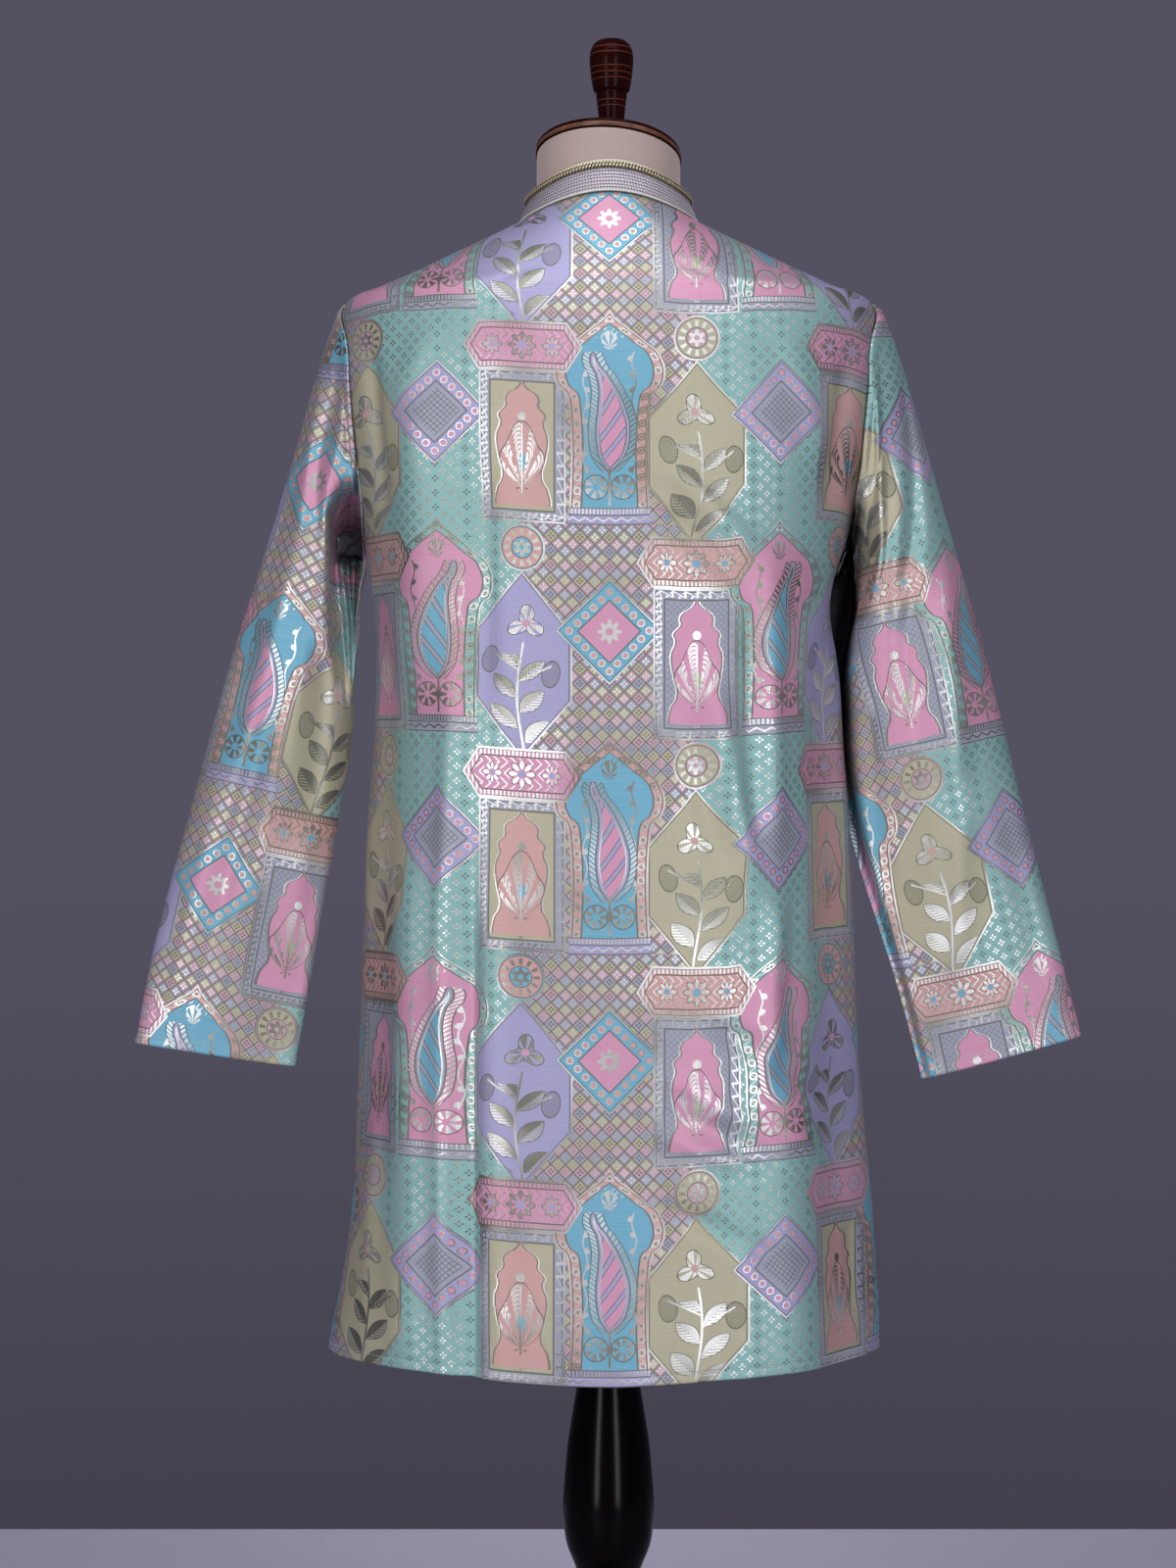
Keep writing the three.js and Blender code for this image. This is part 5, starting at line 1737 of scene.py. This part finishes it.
def wood_material(name, tone, streak, roughness, gloss, coat, stretch):
    """Wood with grain along one way, under lacquer."""
    material, tree, shader = new_material(name)
    place = object_place(tree, stretch)
    grain = noise(tree, place, 60.0, 6.0)
    pores = noise(tree, place, 420.0, 2.0)
    tint = mix(tree, tone, streak, ((grain - 0.42) * 2.6).high(0).low(1))
    tint = mix(tree, tint, darker(tone, 0.4), ((pores - 0.62) * 3).high(0).low(1))
    plug(
        tree, shader, Base_Color=tint, Roughness=grain * 0.08 + roughness,
        Specular_IOR_Level=gloss, Coat_Weight=coat, Coat_Roughness=0.15,
    )
    return material


def ring_lines(material, heights, tone):
    """Thin lines of bare wood round a turned piece, at its cuts."""
    tree = material.node_tree
    shader = tree.nodes["Principled BSDF"]
    _, _, z = axes(tree, object_place(tree))
    z = z * 1000
    lines = z.near(heights[0], LINE_HALF)
    for height in heights[1:]:
        lines = lines.high(z.near(height, LINE_HALF))
    under = shader.inputs["Base Color"].links[0].from_socket
    plug(tree, shader, Base_Color=mix(tree, under, tone, lines))


def button_material():
    material, tree, shader = new_material("shell_button")
    cloud = noise(tree, object_place(tree), 160.0, 4.0)
    tone = mix(tree, (0.62, 0.59, 0.50), (0.50, 0.47, 0.42), cloud)
    plug(tree, shader, Base_Color=tone, Roughness=0.28, Coat_Weight=0.4, Coat_Roughness=0.12)
    return material


# ---- stage -----------------------------------------------------------------------------------------

# Measures of the stage in metres; the sensor is in millimetres.
EYE = (0.0176, 2.6, 0.922)
VIEW_HEIGHT = 1.344  # of the camera's view at the body's axis
SENSOR = 36
FLOOR_HALF = (3.0, 1.155)
FLOOR_DROP = 0.0005  # the floor lies this far under the base


def area_light(name, place, target, size, power, tone):
    light = bpy.data.lights.new(name, "AREA")
    light.shape = "RECTANGLE"
    light.size, light.size_y = size
    light.energy = power
    light.color = tone
    lamp = bpy.data.objects.new(name, light)
    lamp.location = place
    lamp.rotation_euler = (Vector(target) - Vector(place)).to_track_quat("-Z", "Y").to_euler()
    bpy.context.scene.collection.objects.link(lamp)
    return lamp


def make_stage():
    lens = bpy.data.cameras.new("camera")
    lens.sensor_width = SENSOR
    lens.sensor_height = SENSOR
    lens.sensor_fit = "AUTO"
    lens.lens = SENSOR * EYE[1] / VIEW_HEIGHT
    lens.clip_start = 0.05
    camera = bpy.data.objects.new("camera", lens)
    camera.location = EYE
    camera.rotation_euler = (math.pi / 2, 0, math.pi)
    bpy.context.scene.collection.objects.link(camera)
    bpy.context.scene.camera = camera

    bm = bmesh.new()
    bmesh.ops.create_grid(bm, x_segments=24, y_segments=10, size=1)
    bmesh.ops.scale(bm, verts=bm.verts, vec=(*FLOOR_HALF, 1))
    bmesh.ops.translate(bm, verts=bm.verts, vec=(0, 0, -FLOOR_DROP))
    floor_mesh = bpy.data.meshes.new("floor")
    bm.to_mesh(floor_mesh)
    bm.free()
    floor = bpy.data.objects.new("floor", floor_mesh)
    bpy.context.scene.collection.objects.link(floor)
    material, tree, shader = new_material("pale_floor")
    cloud = noise(tree, object_place(tree), 3.0)
    tone = mix(tree, (0.345, 0.337, 0.437), (0.322, 0.312, 0.413), cloud)
    plug(tree, shader, Base_Color=tone, Roughness=0.55)
    floor.data.materials.append(material)

    middle = (0, 0, 0.98)  # of the kurta
    area_light("left", (1.62, 2.78, 1.0), (0, 0, 0.92), (0.6, 2.2), 39.5, (1, 0.985, 0.97))
    area_light("right", (-1.26, 2.95, 1.0), (0, 0, 0.92), (0.6, 2.2), 37, (0.98, 0.985, 1))
    area_light("above", (0, 1.2, 3.0), middle, (1.8, 1.0), 31, (1, 1, 1))
    for name, place, target, size, power in (
        ("front_left", (1.7, -2.7, 1.7), middle, 1.2, 22),
        ("front_right", (-2.0, -2.3, 1.4), middle, 1.2, 20),
        ("floor_wash", (0.0, -1.1, 0.9), (0, -1.05, 0), 0.5, 3.6),
        ("low_fill", (0.0, 1.3, 0.1), (0, 0.1, 0.45), 0.5, 1.5),
    ):
        lamp = area_light(name, place, target, (size, size), power, (1, 0.99, 0.98))
        lamp.visible_glossy = False

    bpy.context.scene.view_settings.view_transform = "Standard"
    world = bpy.data.worlds.new("studio")
    bpy.context.scene.world = world
    world.use_nodes = True
    tree = world.node_tree
    coordinates = tree.nodes.new("ShaderNodeTexCoord")
    height = axes(tree, coordinates.outputs["Generated"])[2]
    shade = ((height + 0.26) / 0.24).high(0).low(1)
    tone = mix(tree, (0.052, 0.048, 0.068), (0.089, 0.084, 0.119), shade)
    plug(tree, tree.nodes["Background"], Color=tone)


# ---- operators ---------------------------------------------------------------------------------------


def paint(piece, *materials):
    for material in materials:
        piece.data.materials.append(material)


def brocade_pair():
    face = bpy.data.materials.get("silk_brocade") or brocade_material()
    back = bpy.data.materials.get("silk_wrong_side") or lining_material()
    return face, back


class KURTA_OT_stage(bpy.types.Operator):
    """Camera, floor, lights and the room's colour"""

    bl_idname = "kurta.stage"
    bl_label = "Stage"

    def execute(self, context):
        make_stage()
        return {"FINISHED"}


class KURTA_OT_panels(bpy.types.Operator):
    """Back and front of the kurta"""

    bl_idname = "kurta.panels"
    bl_label = "Body panels"

    def execute(self, context):
        for name, panel, shift in (("back", 1, (0.0, 0.0)), ("front", -1, (0.108, 0.03))):
            piece = make_panel(name, panel, shift)
            paint(piece, *brocade_pair())
        return {"FINISHED"}


class KURTA_OT_sleeves(bpy.types.Operator):
    """Two hanging sleeves"""

    bl_idname = "kurta.sleeves"
    bl_label = "Sleeves"

    def execute(self, context):
        for side, shift in (("left", (0.05, 0.93)), ("right", (0.12, 1.07))):
            piece = make_sleeve(side, shift)
            paint(piece, *brocade_pair())
        return {"FINISHED"}


class KURTA_OT_collar(bpy.types.Operator):
    """Stand collar with its tape, braid and piping"""

    bl_idname = "kurta.collar"
    bl_label = "Collar"

    def execute(self, context):
        collar = make_collar()
        paint(collar, *brocade_pair())
        trim = make_collar_trim()
        paint(trim, thread_material(
            "chain_stitch", (0.68, 0.62, 0.70), (0.10, 0.09, 0.11), LOOP, 0.35, 0.42, 0.5,
        ))
        braid = make_braid()
        paint(braid, braid_material())
        silk = silk_material("piping_silk", (0.66, 0.66, 0.60))
        for piping in make_pipings():
            paint(piping, silk)
        return {"FINISHED"}


class KURTA_OT_closing(bpy.types.Operator):
    """Placket and buttons on the front"""

    bl_idname = "kurta.closing"
    bl_label = "Placket and buttons"

    def execute(self, context):
        placket = make_placket()
        paint(placket, *brocade_pair())
        shell = button_material()
        for button in make_buttons():
            paint(button, shell)
        return {"FINISHED"}


class KURTA_OT_stitches(bpy.types.Operator):
    """Stitch lines of the hems and cuffs"""

    bl_idname = "kurta.stitches"
    bl_label = "Stitches"

    def execute(self, context):
        hem = sizes().hem / MM - 0.5
        runs = [panel_line(panel, hem) for panel in (1, -1)]
        runs += [cuff_line(side, hem) for side in ("left", "right")]
        piece = stitch_piece("hem_stitches", runs)
        paint(piece, thread_material(
            "sewing_thread", (0.56, 0.58, 0.56), (0.36, 0.37, 0.37), 1.2, 0.0, 0.5, 0.3,
        ))
        return {"FINISHED"}


class KURTA_OT_stand(bpy.types.Operator):
    """Dress form, cap, knob, column and base"""

    bl_idname = "kurta.stand"
    bl_label = "Dress form and stand"

    def execute(self, context):
        paint(make_form(), jersey_material())
        brown = wood_material(
            "brown_wood", (0.10, 0.044, 0.026), (0.22, 0.105, 0.065), 0.42, 0.2, 0.1, (1, 1, 1.4),
        )
        tone = tuple(colours().mahogany)
        red = wood_material("mahogany", tone, (0.036, 0.004, 0.003), 0.22, 0.02, 0.035, (1, 1, 0.08))
        ring_lines(red, KNOB_GROOVES, (0.11, 0.026, 0.016))
        black = wood_material(
            "ebonized_wood", (0.0012, 0.0009, 0.0012), (0.0022, 0.001, 0.0012), 0.2, 0.03, 0.1,
            (1, 1, 0.08),
        )
        paint(make_cap(), brown, red)
        paint(make_knob(), red)
        for piece in (make_column(), make_base()):
            paint(piece, black)
        return {"FINISHED"}


class KURTA_PT_panel(bpy.types.Panel):
    """Lists the settings and the pieces"""

    bl_idname = "KURTA_PT_panel"
    bl_label = "Kurta"
    bl_space_type = "VIEW_3D"
    bl_region_type = "UI"
    bl_category = "Kurta"

    def draw(self, context):
        layout = self.layout
        for group in (context.scene.kurta_sizes, context.scene.kurta_colours):
            box = layout.box()
            for name in group.bl_rna.properties.keys():
                if name not in ("rna_type", "name"):
                    box.prop(group, name)
        for operator in OPERATORS:
            layout.operator(operator.bl_idname)


OPERATORS = (
    KURTA_OT_stage, KURTA_OT_panels, KURTA_OT_sleeves, KURTA_OT_collar, KURTA_OT_closing,
    KURTA_OT_stitches, KURTA_OT_stand,
)
CLASSES = (KurtaSizes, KurtaColours, *OPERATORS, KURTA_PT_panel)


def register():
    for cls in CLASSES:
        bpy.utils.register_class(cls)
    bpy.types.Scene.kurta_sizes = PointerProperty(type=KurtaSizes)
    bpy.types.Scene.kurta_colours = PointerProperty(type=KurtaColours)


def unregister():
    del bpy.types.Scene.kurta_colours
    del bpy.types.Scene.kurta_sizes
    for cls in reversed(CLASSES):
        bpy.utils.unregister_class(cls)


def main():
    register()
    bpy.ops.kurta.stage()
    bpy.ops.kurta.panels()
    bpy.ops.kurta.sleeves()
    bpy.ops.kurta.collar()
    bpy.ops.kurta.closing()
    bpy.ops.kurta.stitches()
    bpy.ops.kurta.stand()


if __name__ == "__main__":
    main()
